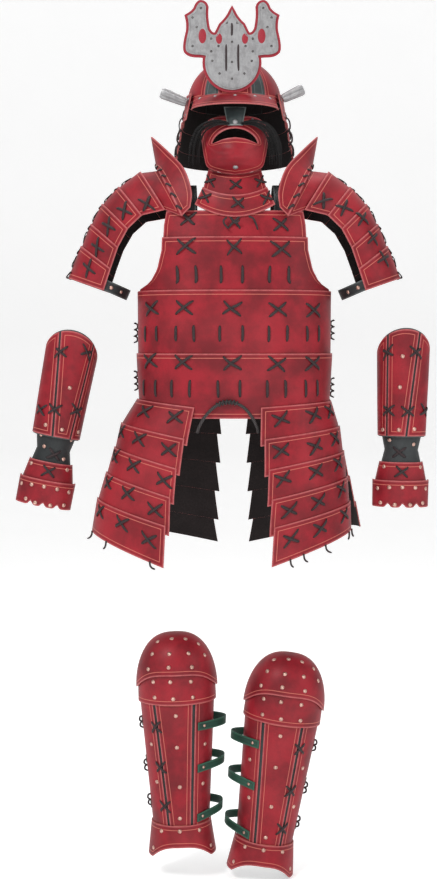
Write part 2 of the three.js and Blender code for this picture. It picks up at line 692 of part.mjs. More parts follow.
function tassetSurface(table, side, back) {
  return (u, v, proud) => {
    const s = TASSET_LAMES * v;
    const halfWidth = read(table, 's', s, 'outerX');
    const innerX = read(table, 's', s, 'innerX');
    const depth = read(table, 's', s, 'depth');
    const angle = lerp(ovalAngle(innerX, halfWidth), TASSET_END, u);
    const nominal = oval(angle, halfWidth, depth);
    const { x, y } = oval(angle, halfWidth + proud, depth + proud);
    const share = (nominal.x - innerX) / (halfWidth - innerX);
    const z = lerp(read(table, 's', s, 'innerZ'), read(table, 's', s, 'outerZ'), share);
    return vec(side * x, back ? -y : y, z);
  };
}

for (const { name, side } of SIDES) {
  for (const back of [false, true]) {
    const table = back ? TASSET_TABLES.back : TASSET_TABLES[`front_${name}`];
    const surface = tassetSurface(table, side, back);
    const stack = wall({ surface, columns: stations(8), rows: lameRows(TASSET_LAMES) });
    addPiece(`tasset_${back ? 'back' : 'front'}_${name}`, stack, 'redLeather');
  }
}

// Waist cord: an arch from behind one front tasset to behind the other, with a wrapped knot on top.
const CORD_RADIUS = 3;
const CORD_ROUTE = new THREE.CatmullRomCurve3([
  vec(-74, -124, -478), vec(-70, -127, -466), vec(-60, -131, -448), vec(-44, -134.7, -430),
  vec(-28, -134.9, -420), vec(-12, -134.9, -417), vec(4, -134.9, -420), vec(20, -134.9, -430),
  vec(34, -132.3, -448), vec(43, -127, -466), vec(46, -124, -478),
]);
const cordSection = new THREE.Shape(Array.from({ length: 8 }, (_, i) => {
  const turn = (2 * Math.PI * i) / 8;
  return new THREE.Vector2(CORD_RADIUS * Math.cos(turn), CORD_RADIUS * Math.sin(turn));
}));
const cordTube = closedCopy(new THREE.ExtrudeGeometry(cordSection, {
  steps: 24, bevelEnabled: false, extrudePath: CORD_ROUTE,
}));
const KNOT = {
  stepsX: [-30, -24, -14, -4, 2], radii: [3.6, 5.4, 5.8, 5.4, 3.6],
  y: -137.6, z: -419, centreX: -12, bend: 0.012,
};
const knotSteps = KNOT.stepsX.map((x) => vec(x, KNOT.y, KNOT.z - KNOT.bend * (x - KNOT.centreX) ** 2));
const knot = taperedTube(knotSteps, KNOT.radii, 8);
addPiece('waist_cord', joined([cordTube, knot]), 'cord');

// Limb guards are three plates on one thin layer, parted by two channels. Along a plate's seam the
// columns run at steady values of u; plateAngle turns them to the degrees round the limb.
const CHANNEL = 5; // degrees across a channel
const PLATE_RISE = 1.6;
const LIMB_LAYER = 1.6; // thickness of the thin layer under the plates
const PLATE_SPANS = [
  { from: 0, to: 0.35, count: 6, rise: PLATE_RISE },
  { from: 0.35, to: 0.37, count: 1, rise: 0 },
  { from: 0.37, to: 0.63, count: 4, rise: PLATE_RISE },
  { from: 0.63, to: 0.65, count: 1, rise: 0 },
  { from: 0.65, to: 1, count: 6, rise: PLATE_RISE },
];
const plateColumns = PLATE_SPANS.flatMap(({ from, to, count, rise }) => {
  return stations(count, from, to).map(({ at }) => ({ at, rise }));
});

function plateAngle(u, v, wrap, seams) {
  const left = lerp(seams.topLeft, seams.footLeft, v);
  const right = lerp(seams.topRight, seams.footRight, v);
  const half = CHANNEL / 2;
  const degrees = [-wrap, left - half, left + half, right - half, right + half, wrap];
  const bounds = [0, ...PLATE_SPANS.map((span) => span.to)];
  const span = Math.min(bounds.findIndex((bound, i) => i > 0 && u <= bound + 1e-9), PLATE_SPANS.length);
  const share = (u - bounds[span - 1]) / (bounds[span] - bounds[span - 1]);
  return radians(lerp(degrees[span - 1], degrees[span], share));
}

// Gauntlets: a laced forearm guard, a dark wrist and two plates over the back of the hand.
// Heights run up the forearm from the wrist.
const GAUNTLETS = {
  left: {
    place: vec(-369, 0, -519), lean: 11,
    seams: { topLeft: -29, topRight: 54, footLeft: -3, footRight: 42 },
  },
  right: {
    place: vec(341, 0, -519), lean: 0.8,
    seams: { topLeft: -42, topRight: 31, footLeft: -44, footRight: 5 },
  },
};
const FOREARM = {
  foot: 27, top: 247, footHalf: 47, topHalf: 53, footDepth: 41, topDepth: 46, dip: 46, wrap: 165,
};
const WRIST = [
  { z: 60, halfWidth: 44.5, depth: 38.5 },
  { z: 24, halfWidth: 39, depth: 34 },
  { z: 0, halfWidth: 34, depth: 31 },
  { z: -30, halfWidth: 41, depth: 33 },
];
const HAND = [
  {
    name: 'hand_upper', lift: 0,
    top: -24, foot: -72, topHalf: 44, footHalf: 54, topDepth: 36, footDepth: 38,
  },
  {
    name: 'hand_lower', lift: SHINGLE,
    top: -61, foot: -116, topHalf: 54, footHalf: 57, topDepth: 38.6, footDepth: 38,
  },
];
const HAND_WRAP = radians(96);

function forearmSurface(seams) {
  return (u, v, proud) => {
    const angle = plateAngle(u, v, FOREARM.wrap, seams);
    const top = FOREARM.top - FOREARM.dip * (1 - Math.cos(angle));
    const z = lerp(top, FOREARM.foot, v);
    const share = (z - FOREARM.foot) / (FOREARM.top - FOREARM.foot);
    const x = (lerp(FOREARM.footHalf, FOREARM.topHalf, share) + proud) * Math.sin(angle);
    const y = -(lerp(FOREARM.footDepth, FOREARM.topDepth, share) + proud) * Math.cos(angle);
    return vec(x, y, z);
  };
}

function wristPoint(u, v, proud) {
  const angle = 2 * Math.PI * u;
  const z = lerp(WRIST[0].z, WRIST[WRIST.length - 1].z, v);
  const x = (read(WRIST, 'z', z, 'halfWidth') + proud) * Math.sin(angle);
  return vec(x, -(read(WRIST, 'z', z, 'depth') + proud) * Math.cos(angle), z);
}

function handSurface(plate) {
  return (u, v, proud) => {
    const angle = HAND_WRAP * (2 * u - 1);
    const stand = proud + plate.lift * (1 - v);
    const x = (lerp(plate.topHalf, plate.footHalf, v) + stand) * Math.sin(angle);
    const y = -(lerp(plate.topDepth, plate.footDepth, v) + stand) * Math.cos(angle);
    return vec(x, y, lerp(plate.top, plate.foot, v));
  };
}

for (const { name } of SIDES) {
  const { place, lean, seams } = GAUNTLETS[name];
  const gauntlet = new THREE.Group();
  gauntlet.position.copy(place);
  gauntlet.rotation.y = radians(lean);
  armour.add(gauntlet);
  const forearm = wall({
    surface: forearmSurface(seams), columns: plateColumns, rows: stations(2), thickness: LIMB_LAYER,
  });
  addPiece(`gauntlet_${name}_forearm`, forearm, 'redLeather', gauntlet);
  const wrist = wall({
    surface: wristPoint, columns: stations(14).slice(0, -1), rows: stations(5), thickness: 2, closed: true,
  });
  addPiece(`gauntlet_${name}_wrist`, wrist, 'darkLeather', gauntlet);
  for (const plate of HAND) {
    const piece = wall({ surface: handSurface(plate), columns: stations(12), rows: stations(1) });
    addPiece(`gauntlet_${name}_${plate.name}`, piece, 'redLeather', gauntlet);
  }
}

// Greaves: a knee cap over one lame, a shin guard of three plates, an ankle plate with two feet
// and three straps round the calf. Heights run up from the top of the shin guard.
const GREAVES = {
  left: {
    place: vec(-117, 0, -1036), lean: -1.8, strapSide: 1,
    seams: { topLeft: -38, topRight: 28, footLeft: -24, footRight: 23 },
  },
  right: {
    place: vec(98, 0, -1078), lean: 8, strapSide: -1,
    seams: { topLeft: -32, topRight: 32, footLeft: -21, footRight: 33 },
  },
};
const SHIN = { top: 0, foot: -262, topHalf: 75, footHalf: 56, topDepth: 61.3, footDepth: 49, wrap: 104 };
const KNEE_CAP = { crown: 142, foot: 64, ear: 30, halfWidth: 84, depth: 74, wrap: 96 };
const KNEE_LAME = { tuck: 14, foot: 2, topHalf: 79.6, footHalf: 80.2, topDepth: 68.6, footDepth: 67.2, wrap: 96 };
const ANKLE = {
  top: -250, foot: -292, side: -318, footStart: 1.15,
  topHalf: 61.5, footHalf: 70, topDepth: 54.2, footDepth: 66, wrap: 100,
};
const CALF_STRAP = {
  width: 17, thickness: 2.4, start: 34, end: 264, climbShare: 0.33, slack: 25, slackShare: 0.62,
};
const CALF_STRAPS = [
  { level: -46, climb: 0 },
  { level: -134, climb: 9 },
  { level: -238, climb: 18 },
];

// A half tube round the leg with its own half-width and depth at the top and the foot.
function legPoint(piece, u, v, proud, zOf) {
  const angle = radians(piece.wrap) * (2 * u - 1);
  const x = (lerp(piece.topHalf, piece.footHalf, v) + proud) * Math.sin(angle);
  const y = -(lerp(piece.topDepth, piece.footDepth, v) + proud) * Math.cos(angle);
  return vec(x, y, zOf(angle));
}

function shinSurface(seams) {
  return (u, v, proud) => {
    const angle = plateAngle(u, v, SHIN.wrap, seams);
    const x = (lerp(SHIN.topHalf, SHIN.footHalf, v) + proud) * Math.sin(angle);
    const y = -(lerp(SHIN.topDepth, SHIN.footDepth, v) + proud) * Math.cos(angle);
    return vec(x, y, lerp(SHIN.top + LAP, SHIN.foot, v));
  };
}

// The foot of the knee cap dips to an ear on each side.
const kneeCapFoot = (angle) => lerp(KNEE_CAP.foot, KNEE_CAP.ear, Math.sin(angle) ** 4);

function kneeCapPoint(u, v, proud) {
  const angle = radians(KNEE_CAP.wrap) * (2 * u - 1);
  const fall = FULL * v;
  const foot = kneeCapFoot(angle);
  const x = (KNEE_CAP.halfWidth + proud) * Math.sin(angle) * Math.sin(fall) ** 0.8;
  const y = -(KNEE_CAP.depth + proud) * Math.cos(angle) * Math.sin(fall) ** 0.8;
  return vec(x, y, foot + (KNEE_CAP.crown - foot + proud) * Math.cos(fall));
}

function kneeLamePoint(u, v, proud) {
  const height = (angle) => lerp(kneeCapFoot(angle) + KNEE_LAME.tuck, KNEE_LAME.foot, v);
  return legPoint(KNEE_LAME, u, v, proud, height);
}

function anklePoint(u, v, proud) {
  const height = (angle) => {
    const share = Math.min(Math.abs(Math.sin(angle)) * ANKLE.footStart, 1) ** 3;
    return lerp(ANKLE.top, lerp(ANKLE.foot, ANKLE.side, share), v);
  };
  return legPoint(ANKLE, u, v, proud, height);
}

// A strap leaves the channel beside the middle plate, loops wide of the edge and passes behind.
function strapSurface({ level, climb }, side) {
  return (u, v, proud) => {
    const z = level + climb * Math.min(u / CALF_STRAP.climbShare, 1) + CALF_STRAP.width * (0.5 - v);
    const share = (SHIN.top + LAP - z) / (SHIN.top + LAP - SHIN.foot);
    const halfWidth = lerp(SHIN.topHalf, SHIN.footHalf, share) + PLATE_RISE;
    const depth = lerp(SHIN.topDepth, SHIN.footDepth, share) + PLATE_RISE;
    const angle = radians(lerp(CALF_STRAP.start, CALF_STRAP.end, u));
    const slack = CALF_STRAP.slack * Math.sin(Math.PI * Math.min(u / CALF_STRAP.slackShare, 1)) ** 2;
    const stand = 2 * SEAM + CALF_STRAP.thickness + proud;
    const x = (halfWidth + stand + slack) * Math.sin(angle);
    const y = -(depth + stand) * Math.cos(angle);
    return vec(side * x, y, z);
  };
}

for (const { name } of SIDES) {
  const { place, lean, strapSide, seams } = GREAVES[name];
  const greave = new THREE.Group();
  greave.position.copy(place);
  greave.rotation.y = radians(lean);
  armour.add(greave);
  const shin = wall({
    surface: shinSurface(seams), columns: plateColumns, rows: stations(2), thickness: LIMB_LAYER,
  });
  addPiece(`greave_${name}_shin`, shin, 'redLeather', greave);
  const cap = wall({ surface: kneeCapPoint, columns: stations(14), rows: stations(5) });
  addPiece(`greave_${name}_knee_cap`, cap, 'redLeather', greave);
  const lame = wall({ surface: kneeLamePoint, columns: stations(14), rows: stations(1) });
  addPiece(`greave_${name}_knee_lame`, lame, 'redLeather', greave);
  const ankle = wall({ surface: anklePoint, columns: stations(14), rows: stations(2) });
  addPiece(`greave_${name}_ankle`, ankle, 'redLeather', greave);
  for (const [i, row] of CALF_STRAPS.entries()) {
    const strap = wall({
      surface: strapSurface(row, strapSide),
      columns: stations(18),
      rows: stations(1),
      thickness: CALF_STRAP.thickness,
    });
    addPiece(`greave_${name}_strap_${i + 1}`, strap, 'greenStrap', greave);
  }
}

export default armour;
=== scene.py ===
"""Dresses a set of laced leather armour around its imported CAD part.

Every sheet of leather is cut as a grid, laid over the surface that its CAD wall follows, and given
its thickness, its scored border lines and its burnished edges. Laces, rivets and hair are laid on
the same surfaces. Sizes are in millimetres, as a leather worker notes them, and meshes are built in
metres in the frame of the part: +Z up, the front towards -Y. Left is the side of a viewer's left.
"""

import logging
import math
import random
from dataclasses import dataclass, field
from enum import Enum, Flag, auto
from typing import Callable, NamedTuple, Optional, Sequence, Union

import bmesh
import bpy
from mathutils import Matrix, Vector, noise


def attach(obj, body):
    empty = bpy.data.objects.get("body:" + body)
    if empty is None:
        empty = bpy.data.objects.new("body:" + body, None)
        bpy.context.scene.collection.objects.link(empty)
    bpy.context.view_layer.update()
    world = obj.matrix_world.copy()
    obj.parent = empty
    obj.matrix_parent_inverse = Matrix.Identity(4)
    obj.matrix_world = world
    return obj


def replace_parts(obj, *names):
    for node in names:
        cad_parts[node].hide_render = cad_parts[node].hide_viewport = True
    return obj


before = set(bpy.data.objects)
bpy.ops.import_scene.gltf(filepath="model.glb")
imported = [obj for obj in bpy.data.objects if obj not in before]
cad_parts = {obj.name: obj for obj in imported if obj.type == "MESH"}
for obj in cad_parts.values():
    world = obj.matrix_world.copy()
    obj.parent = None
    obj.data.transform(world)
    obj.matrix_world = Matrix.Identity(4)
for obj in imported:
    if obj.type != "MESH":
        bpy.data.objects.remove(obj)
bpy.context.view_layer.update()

LOG = logging.getLogger("armour")
MM = 0.001
ROOT = "root"

LEATHER = 2.4  # one thickness of sole leather
AIR = 1.0  # play between lapped lames
SHINGLE = LEATHER + AIR  # how far a lame's top stands over the foot of the one above
STACK_STEP = 2.8  # how far a hanging lame's top stands over its neighbour

RIPPLE_WAVE = 75.0  # the size of a wave in hand-cut leather
NUDGE = 0.002  # the share of a sheet over which its slope is measured
SEARCH_STEPS = 40  # tries to find a place on a sheet
SEARCH_PACE = 0.6  # how much of each step of the search is taken
SEARCH_REACH = 0.2  # the longest step of the search, as a share of the sheet
RIM_SHARE = 0.02  # how near the search comes to the sheet's edge

FORWARD = Vector((0, -1, 0))
FAR = 1.0  # metres, stored where a sheet has no such edge

Colour = tuple[float, float, float]
# The point at a share across a sheet and a share down it, standing proud of its face in millimetres.
Surface = Callable[[float, float, float], Vector]
Cells = dict[tuple[int, int], bmesh.types.BMVert]


class Side(Enum):
    """The two sides of the wearer, as a viewer who faces the armour calls them."""

    LEFT = -1
    RIGHT = 1

    @property
    def label(self) -> str:
        """The side's part of a piece's name."""
        return self.name.lower()


class Edges(Flag):
    """Edges of a sheet that carry a scored line beside them."""

    NONE = 0
    START = auto()
    END = auto()
    TOP = auto()
    FOOT = auto()
    ENDS = START | END
    ARCH = START | END | TOP
    ALL = START | END | TOP | FOOT


def lerp(low: float, high: float, share: float) -> float:
    """Goes straight from low to high as share goes from 0 to 1."""
    return low + (high - low) * share


def clamped(value: float, low: float, high: float) -> float:
    """Keeps a value between two others."""
    return min(max(value, low), high)


def read_row(rows: Sequence[Sequence[float]], value: float, column: int) -> float:
    """Reads a column of a table at a value of its first column, straight between rows.

    Args:
        rows: the table, with its first column rising or falling.
        value: where to read it.
        column: which column to read.

    Returns:
        The value of the column there.
    """
    ordered = sorted(rows)
    if value <= ordered[0][0]:
        return ordered[0][column]
    for low, high in zip(ordered, ordered[1:]):
        if value <= high[0]:
            return lerp(low[column], high[column], (value - low[0]) / (high[0] - low[0]))
    return ordered[-1][column]


def smooth_curve(points: Sequence[Vector], share: float) -> Vector:
    """Gives a point of a Catmull-Rom curve through given points.

    Args:
        points: the points that the curve passes through.
        share: how far along it, from 0 to 1, with equal shares between points.

    Returns:
        The point on the curve.
    """
    place = clamped(share, 0.0, 1.0) * (len(points) - 1)
    first = min(int(place), len(points) - 2)
    t = place - first
    b, c = points[first], points[first + 1]
    a = points[first - 1] if first > 0 else 2 * b - c
    d = points[first + 2] if first + 2 < len(points) else 2 * c - b
    bend = 2 * a - 5 * b + 4 * c - d
    twist = 3 * b - a - 3 * c + d
    return 0.5 * (2 * b + (c - a) * t + bend * t**2 + twist * t**3)


def mirrored(side: Side, surface: Surface) -> Surface:
    """Gives a surface that is drawn for the right side on either side.

    Args:
        side: the side that it is wanted on.
        surface: the surface of the right side.

    Returns:
        The surface on that side.
    """

    def place(u: float, v: float, proud: float) -> Vector:
        """The point on the wanted side.

        Args:
            u: the share across.
            v: the share down.
            proud: how far the point stands off the face.

        Returns:
            The point.
        """
        point = surface(u, v, proud)
        point.x *= side.value
        return point

    return place


def rippled(surface: Surface, height: float, seed: float = 0.0) -> Surface:
    """Gives a surface the slight waviness of hand-cut leather.

    Args:
        surface: the even surface.
        height: the largest rise, in millimetres.
        seed: sets one sheet's waves apart from another's.

    Returns:
        The wavy surface.
    """

    def place(u: float, v: float, proud: float) -> Vector:
        """The point, raised or sunk by its wave."""
        spot = surface(u, v, 0.0) / RIPPLE_WAVE + Vector((seed, 2.7 * seed, -seed))
        return surface(u, v, proud + height * noise.noise(spot))

    return place


# Materials.


class Value:
    """A number or a socket in a shader, whose arithmetic adds Math nodes."""

    def __init__(self, graph: "Graph", source: Union[float, bpy.types.NodeSocket]) -> None:
        """Wraps a number or an output socket of one graph."""
        self.graph = graph
        self.source = source

    def math(self, operation: str, *others: "Number") -> "Value":
        """Adds one Math node on this value and up to two others."""
        inputs = {i: item for i, item in enumerate((self, *others))}
        return self.graph.node("ShaderNodeMath", {"operation": operation}, inputs).out()

    def __add__(self, other: "Number") -> "Value":
        """Adds a number or a value."""
        return self.math("ADD", other)

    def __radd__(self, other: "Number") -> "Value":
        """Adds the value to a number."""
        return self.math("ADD", other)

    def __sub__(self, other: "Number") -> "Value":
        """Takes a number or a value away."""
        return self.math("SUBTRACT", other)

    def __rsub__(self, other: "Number") -> "Value":
        """Takes the value away from a number."""
        return Value(self.graph, other).math("SUBTRACT", self)

    def __mul__(self, other: "Number") -> "Value":
        """Multiplies by a number or a value."""
        return self.math("MULTIPLY", other)

    def __rmul__(self, other: "Number") -> "Value":
        """Multiplies a number by the value."""
        return self.math("MULTIPLY", other)

    def least(self, other: "Number") -> "Value":
        """The smaller of two values."""
        return self.math("MINIMUM", other)

    def wave(self) -> "Value":
        """The sine of the value."""
        return self.math("SINE")

    def step(self, low: float, high: float) -> "Value":
        """Rises smoothly from 0 to 1 as the value goes from low to high.

        Args:
            low: the value where the result is 0.
            high: the value where it is 1, which may be the smaller of the two.

        Returns:
            The smooth step.
        """
        settings = {"interpolation_type": "SMOOTHSTEP"}
        inputs = {"Value": self, "From Min": min(low, high), "From Max": max(low, high)}
        rising = self.graph.node("ShaderNodeMapRange", settings, inputs).out("Result")
        return rising if low < high else 1 - rising

    def ridge(self, middle: float, width: float) -> "Value":
        """Is 1 where the value is at the middle and falls smoothly to 0 a width away."""
        return (self - middle).math("ABSOLUTE").step(width, 0.0)


Number = Union[float, Value]


class Shading(NamedTuple):
    """A node that was added to a graph."""

    graph: "Graph"
    node: bpy.types.Node

    def out(self, name: Union[int, str] = 0) -> Value:
        """One of the node's outputs, as a value."""
        return Value(self.graph, self.node.outputs[name])


class Graph:
    """The node tree of one material."""

    # Places of a Mix node's colour sockets, which share their names with its other kinds.
    MIX_FACTOR = 0
    MIX_FIRST = 6
    MIX_SECOND = 7
    MIX_RESULT = 2

    def __init__(self, name: str) -> None:
        """Starts a material with an empty node tree.

        Args:
            name: the material's name.
        """
        self.material = bpy.data.materials.new(name)
        self.material.use_nodes = True
        self.tree = self.material.node_tree
        self.tree.nodes.clear()

    def node(
        self,
        kind: str,
        settings: Optional[dict[str, object]] = None,
        inputs: Optional[dict[Union[int, str], object]] = None,
    ) -> Shading:
        """Adds a node: its settings come first, then the values or links of its sockets.

        Args:
            kind: the node's type.
            settings: its properties.
            inputs: a value, colour or link for each named or numbered socket.

        Returns:
            The node, ready to give its outputs.
        """
        node = self.tree.nodes.new(kind)
        for key, setting in (settings or {}).items():
            setattr(node, key, setting)
        for key, item in (inputs or {}).items():
            source = item.source if isinstance(item, Value) else item
            if isinstance(source, bpy.types.NodeSocket):
                self.tree.links.new(source, node.inputs[key])
            else:
                node.inputs[key].default_value = source
        return Shading(self, node)

    def place(self, scale: Colour = (1.0, 1.0, 1.0)) -> Value:
        """The point in the part's own frame, in metres, scaled along each axis."""
        return self.scaled(self.node("ShaderNodeTexCoord").out("Object"), scale)

    def scaled(self, vector: Value, scale: Colour) -> Value:
        """A vector scaled along each axis."""
        return self.node("ShaderNodeVectorMath", {"operation": "MULTIPLY"}, {0: vector, 1: scale}).out()

    def attribute(self, name: str, output: str = "Fac") -> Value:
        """A value that the mesh holds for each point."""
        return self.node("ShaderNodeAttribute", {"attribute_name": name}).out(output)

    def axes(self, vector: Value) -> list[Value]:
        """The three parts of a vector."""
        split = self.node("ShaderNodeSeparateXYZ", inputs={0: vector})
        return [split.out(i) for i in range(3)]

    def noise(
        self,
        size: float,
        detail: float = 3.0,
        rough: float = 0.5,
        where: Optional[Value] = None,
    ) -> Value:
        """Cloudy noise from 0 to 1.

        Args:
            size: the size of its waves, in millimetres.
            detail: how many finer layers it has.
            rough: how strong the finer layers are.
            where: the place that it is read at, or the point in the part's frame.

        Returns:
            The noise.
        """
        inputs = {
            "Vector": where or self.place(),
            "Scale": 1 / (size * MM),
            "Detail": detail,
            "Roughness": rough,
        }
        return self.node("ShaderNodeTexNoise", inputs=inputs).out("Fac")

    def cells(self, size: float, feature: str = "F1") -> Value:
        """Distance inside pebbled cells of a size in millimetres."""
        inputs = {"Vector": self.place(), "Scale": 1 / (size * MM)}
        return self.node("ShaderNodeTexVoronoi", {"feature": feature}, inputs).out("Distance")

    def blend(self, factor: Number, first: Union[Colour, Value], second: Union[Colour, Value]) -> Value:
        """Mixes two colours.

        Args:
            factor: the share of the second colour.
            first: the colour at 0.
            second: the colour at 1.

        Returns:
            The mixed colour.
        """
        first = (*first, 1.0) if isinstance(first, tuple) else first
        second = (*second, 1.0) if isinstance(second, tuple) else second
        settings = {"data_type": "RGBA"}
        inputs = {self.MIX_FACTOR: factor, self.MIX_FIRST: first, self.MIX_SECOND: second}
        return self.node("ShaderNodeMix", settings, inputs).out(self.MIX_RESULT)

    def bump(self, height: Value, depth: float, strength: float, under: Optional[Value] = None) -> Value:
        """Turns a height from 0 to 1 into a normal.

        Args:
            height: the height.
            depth: what a height of 1 stands for, in millimetres.
            strength: how much of the relief shows.
            under: a normal that this relief is added to.

        Returns:
            The normal.
        """
        inputs = {"Height": height, "Distance": depth * MM, "Strength": strength}
        if under is not None:
            inputs["Normal"] = under
        return self.node("ShaderNodeBump", inputs=inputs).out("Normal")

    def surface(self, constants: dict[str, object], driven: dict[str, Value]) -> bpy.types.Material:
        """Ends the tree in one shader.

        Args:
            constants: sockets that are the same all over.
            driven: sockets that change over the surface.

        Returns:
            The finished material.
        """
        shader = self.node("ShaderNodeBsdfPrincipled", inputs={**constants, **driven})
        self.node("ShaderNodeOutputMaterial", inputs={"Surface": shader.out("BSDF")})
        return self.material


class Border(NamedTuple):
    """How far a point of a sheet lies from its cut edges and from its scored edges, in metres."""

    cut: Value
    scored: Value


def border(graph: Graph) -> Border:
    """Reads the distances that Leatherwork stores in a mesh.

    Args:
        graph: the material that they are read in.

    Returns:
        The distances from the nearest cut edge and from the nearest scored edge.
    """
    start, end, top = graph.axes(graph.attribute("cut_edges", "Vector"))
    cut = start.least(end).least(top).least(graph.attribute("cut_foot"))
    start, end, top = graph.axes(graph.attribute("scored_edges", "Vector"))
    scored = start.least(end).least(top).least(graph.attribute("scored_foot"))
    return Border(cut, scored)


@dataclass(frozen=True)
class LeatherFinish:
    """The grain side of dyed leather, with worn edges that also carry a painted highlight, painted shade
    just inside them and a scored line beside them.
    """

    name: str
    base: Colour
    deep: Colour
    worn: Colour
    # The colour of the worn edge band, which also serves as a painted highlight.
    rim: Colour
    line: Colour
    line_inset: float = 9.0
    line_width: float = 2.2
    roughness: float = 0.46
    gloss: float = 0.12
    grain: float = 0.10

    def make(self) -> bpy.types.Material:
        """Builds the finish.

        Returns:
            Its material.
        """
        graph = Graph(self.name)
        edge = border(graph)
        mottle = graph.noise(55.0, 4.0, 0.62)
        cloud = graph.noise(170.0, 2.0)
        fine = graph.noise(2.6, 5.0, 0.7)
        scuff = graph.noise(11.0, 5.0, 0.75)
        colour = graph.blend(mottle.step(0.30, 0.72), self.deep, self.base)
        colour = graph.blend(cloud.step(0.45, 0.75) * 0.35, colour, self.worn)
        colour = graph.blend(fine.step(0.35, 0.75) * 0.22, colour, self.deep)
        colour = graph.blend(scuff.step(0.63, 0.78) * 0.30, colour, self.worn)
        # Painted light: along the cut edges the rim colour is both wear and a painted highlight on the
        # bevel, and just inside them a darker band is painted shade.
        edge_wear_and_highlight = edge.cut.step(4.0 * MM, 1.2 * MM) * (0.55 + scuff.step(0.3, 0.6) * 0.45)
        shaded = edge.cut.step(9.0 * MM, 2.0 * MM) * (1 - edge_wear_and_highlight) * 0.35
        colour = graph.blend(shaded, colour, self.deep)
        colour = graph.blend(edge_wear_and_highlight * 0.85, colour, self.rim)
        score = edge.scored.ridge(self.line_inset * MM, self.line_width * 0.5 * MM)
        colour = graph.blend(score * 0.9, colour, self.line)
        pebbles = graph.cells(1.5).step(0.0, 0.75)
        creases = graph.cells(19.0, "DISTANCE_TO_EDGE").step(0.05, 0.0) * mottle.step(0.35, 0.6)
        bevel = edge.cut.step(2.2 * MM, 0.0)
        relief = 0.5 + pebbles * 0.16 + fine * 0.2 - creases * 0.10
        grained = graph.bump(relief, self.grain * 3.0, 0.75)
        normal = graph.bump(1 - score - bevel * 0.6, 0.6, 0.8, grained)
        rough = self.roughness + mottle * 0.16 + fine * 0.10 - edge_wear_and_highlight * 0.08
        constants = {"Specular IOR Level": 0.3, "Coat Roughness": 0.35, "Coat IOR": 1.45}
        driven = {
            "Base Color": colour,
            "Roughness": rough,
            "Coat Weight": self.gloss * (0.6 + mottle * 0.8),
            "Normal": normal,
        }
        return graph.surface(constants, driven)


@dataclass(frozen=True)
class CutEdgeFinish:
    """The cut edge of a sheet: fibres that are bevelled and burnished."""

    name: str
    base: Colour
    deep: Colour
    roughness: float = 0.5

    def make(self) -> bpy.types.Material:
        """Builds the finish.

        Returns:
            Its material.
        """
        graph = Graph(self.name)
        fibres = graph.noise(1.4, 4.0, 0.7)
        worn = graph.noise(14.0, 3.0, 0.6)
        colour = graph.blend(fibres.step(0.35, 0.7), self.deep, self.base)
        colour = graph.blend(worn.step(0.55, 0.75) * 0.5, colour, self.deep)
        driven = {
            "Base Color": colour,
            "Roughness": self.roughness + fibres * 0.2,
            "Normal": graph.bump(fibres, 0.15, 0.6),
        }
        return graph.surface({"Specular IOR Level": 0.4}, driven)


@dataclass(frozen=True)
class FleshFinish:
    """The nap of the inner side, dyed dark."""

    name: str
    base: Colour
    deep: Colour

    def make(self) -> bpy.types.Material:
        """Builds the finish.

        Returns:
            Its material.
        """
        graph = Graph(self.name)
        nap = graph.noise(3.0, 6.0, 0.75)
        stain = graph.noise(60.0, 3.0)
        colour = graph.blend(nap.step(0.3, 0.7), self.deep, self.base)
        colour = graph.blend(stain.step(0.4, 0.7) * 0.5, colour, self.deep)
        driven = {
            "Base Color": colour,
            "Roughness": 0.78 + nap * 0.2,
            "Normal": graph.bump(nap, 0.35, 0.7),
        }
        return graph.surface({"Specular IOR Level": 0.25}, driven)


@dataclass(frozen=True)
class RubbedMetalFinish:
    """Rubbed metal or silvered leather, bright on its high spots and dull in its pits."""

    name: str
    bright: Colour
    dull: Colour
    metallic: float = 0.85
    roughness: float = 0.36
    scratch: float = 6.0

    def make(self) -> bpy.types.Material:
        """Builds the finish.

        Returns:
            Its material.
        """
        graph = Graph(self.name)
        pits = graph.noise(self.scratch, 6.0, 0.72)
        haze = graph.noise(self.scratch * 7.0, 2.0)
        brushed = graph.noise(self.scratch, 4.0, 0.7, graph.place((1.0, 1.0, 0.35)))
        tone = pits * 0.5 + brushed * 0.5
        colour = graph.blend(tone.step(0.36, 0.62), self.dull, self.bright)
        colour = graph.blend(haze.step(0.5, 0.75) * 0.4, colour, self.dull)
        driven = {
            "Base Color": colour,
            "Roughness": self.roughness + pits * 0.25,
            "Metallic": self.metallic - haze.step(0.5, 0.8) * 0.2,
            "Normal": graph.bump(tone, 0.12, 0.6),
        }
        return graph.surface({"Specular IOR Level": 0.5}, driven)


@dataclass(frozen=True)
class StrandFinish:
    """Thongs, cord or hair, streaked along the piece's own length."""

    name: str
    base: Colour
    deep: Colour
    roughness: float = 0.6
    streak: float = 0.9
    twist: float = 0.0
    ply: float = 3.2
    depth: float = 0.25

    def make(self) -> bpy.types.Material:
        """Builds the finish.

        Returns:
            Its material.
        """
        graph = Graph(self.name)
        cut = graph.node("ShaderNodeUVMap", {"uv_map": "Cut"}).out()
        along, across, _ = graph.axes(cut)
        stretched = graph.scaled(cut, (0.12, 1.0, 1.0))
        fibres = graph.noise(self.streak, 4.0, 0.7, stretched)
        worn = graph.noise(9.0, 3.0)
        relief = fibres
        if self.twist > 0:
            turns = along * (2 * math.pi / (self.twist * MM)) + across * (2 * math.pi / (self.ply * MM))
            ply = turns.wave()
            relief = fibres * 0.3 + ply.step(-0.9, 0.7) * 0.7
        colour = graph.blend(relief.step(0.3, 0.75), self.deep, self.base)
        colour = graph.blend(worn.step(0.55, 0.8) * 0.3, colour, self.deep)
        driven = {
            "Base Color": colour,
            "Roughness": self.roughness + fibres * 0.2,
            "Normal": graph.bump(relief, self.depth, 0.7),
        }
        return graph.surface({"Specular IOR Level": 0.4}, driven)


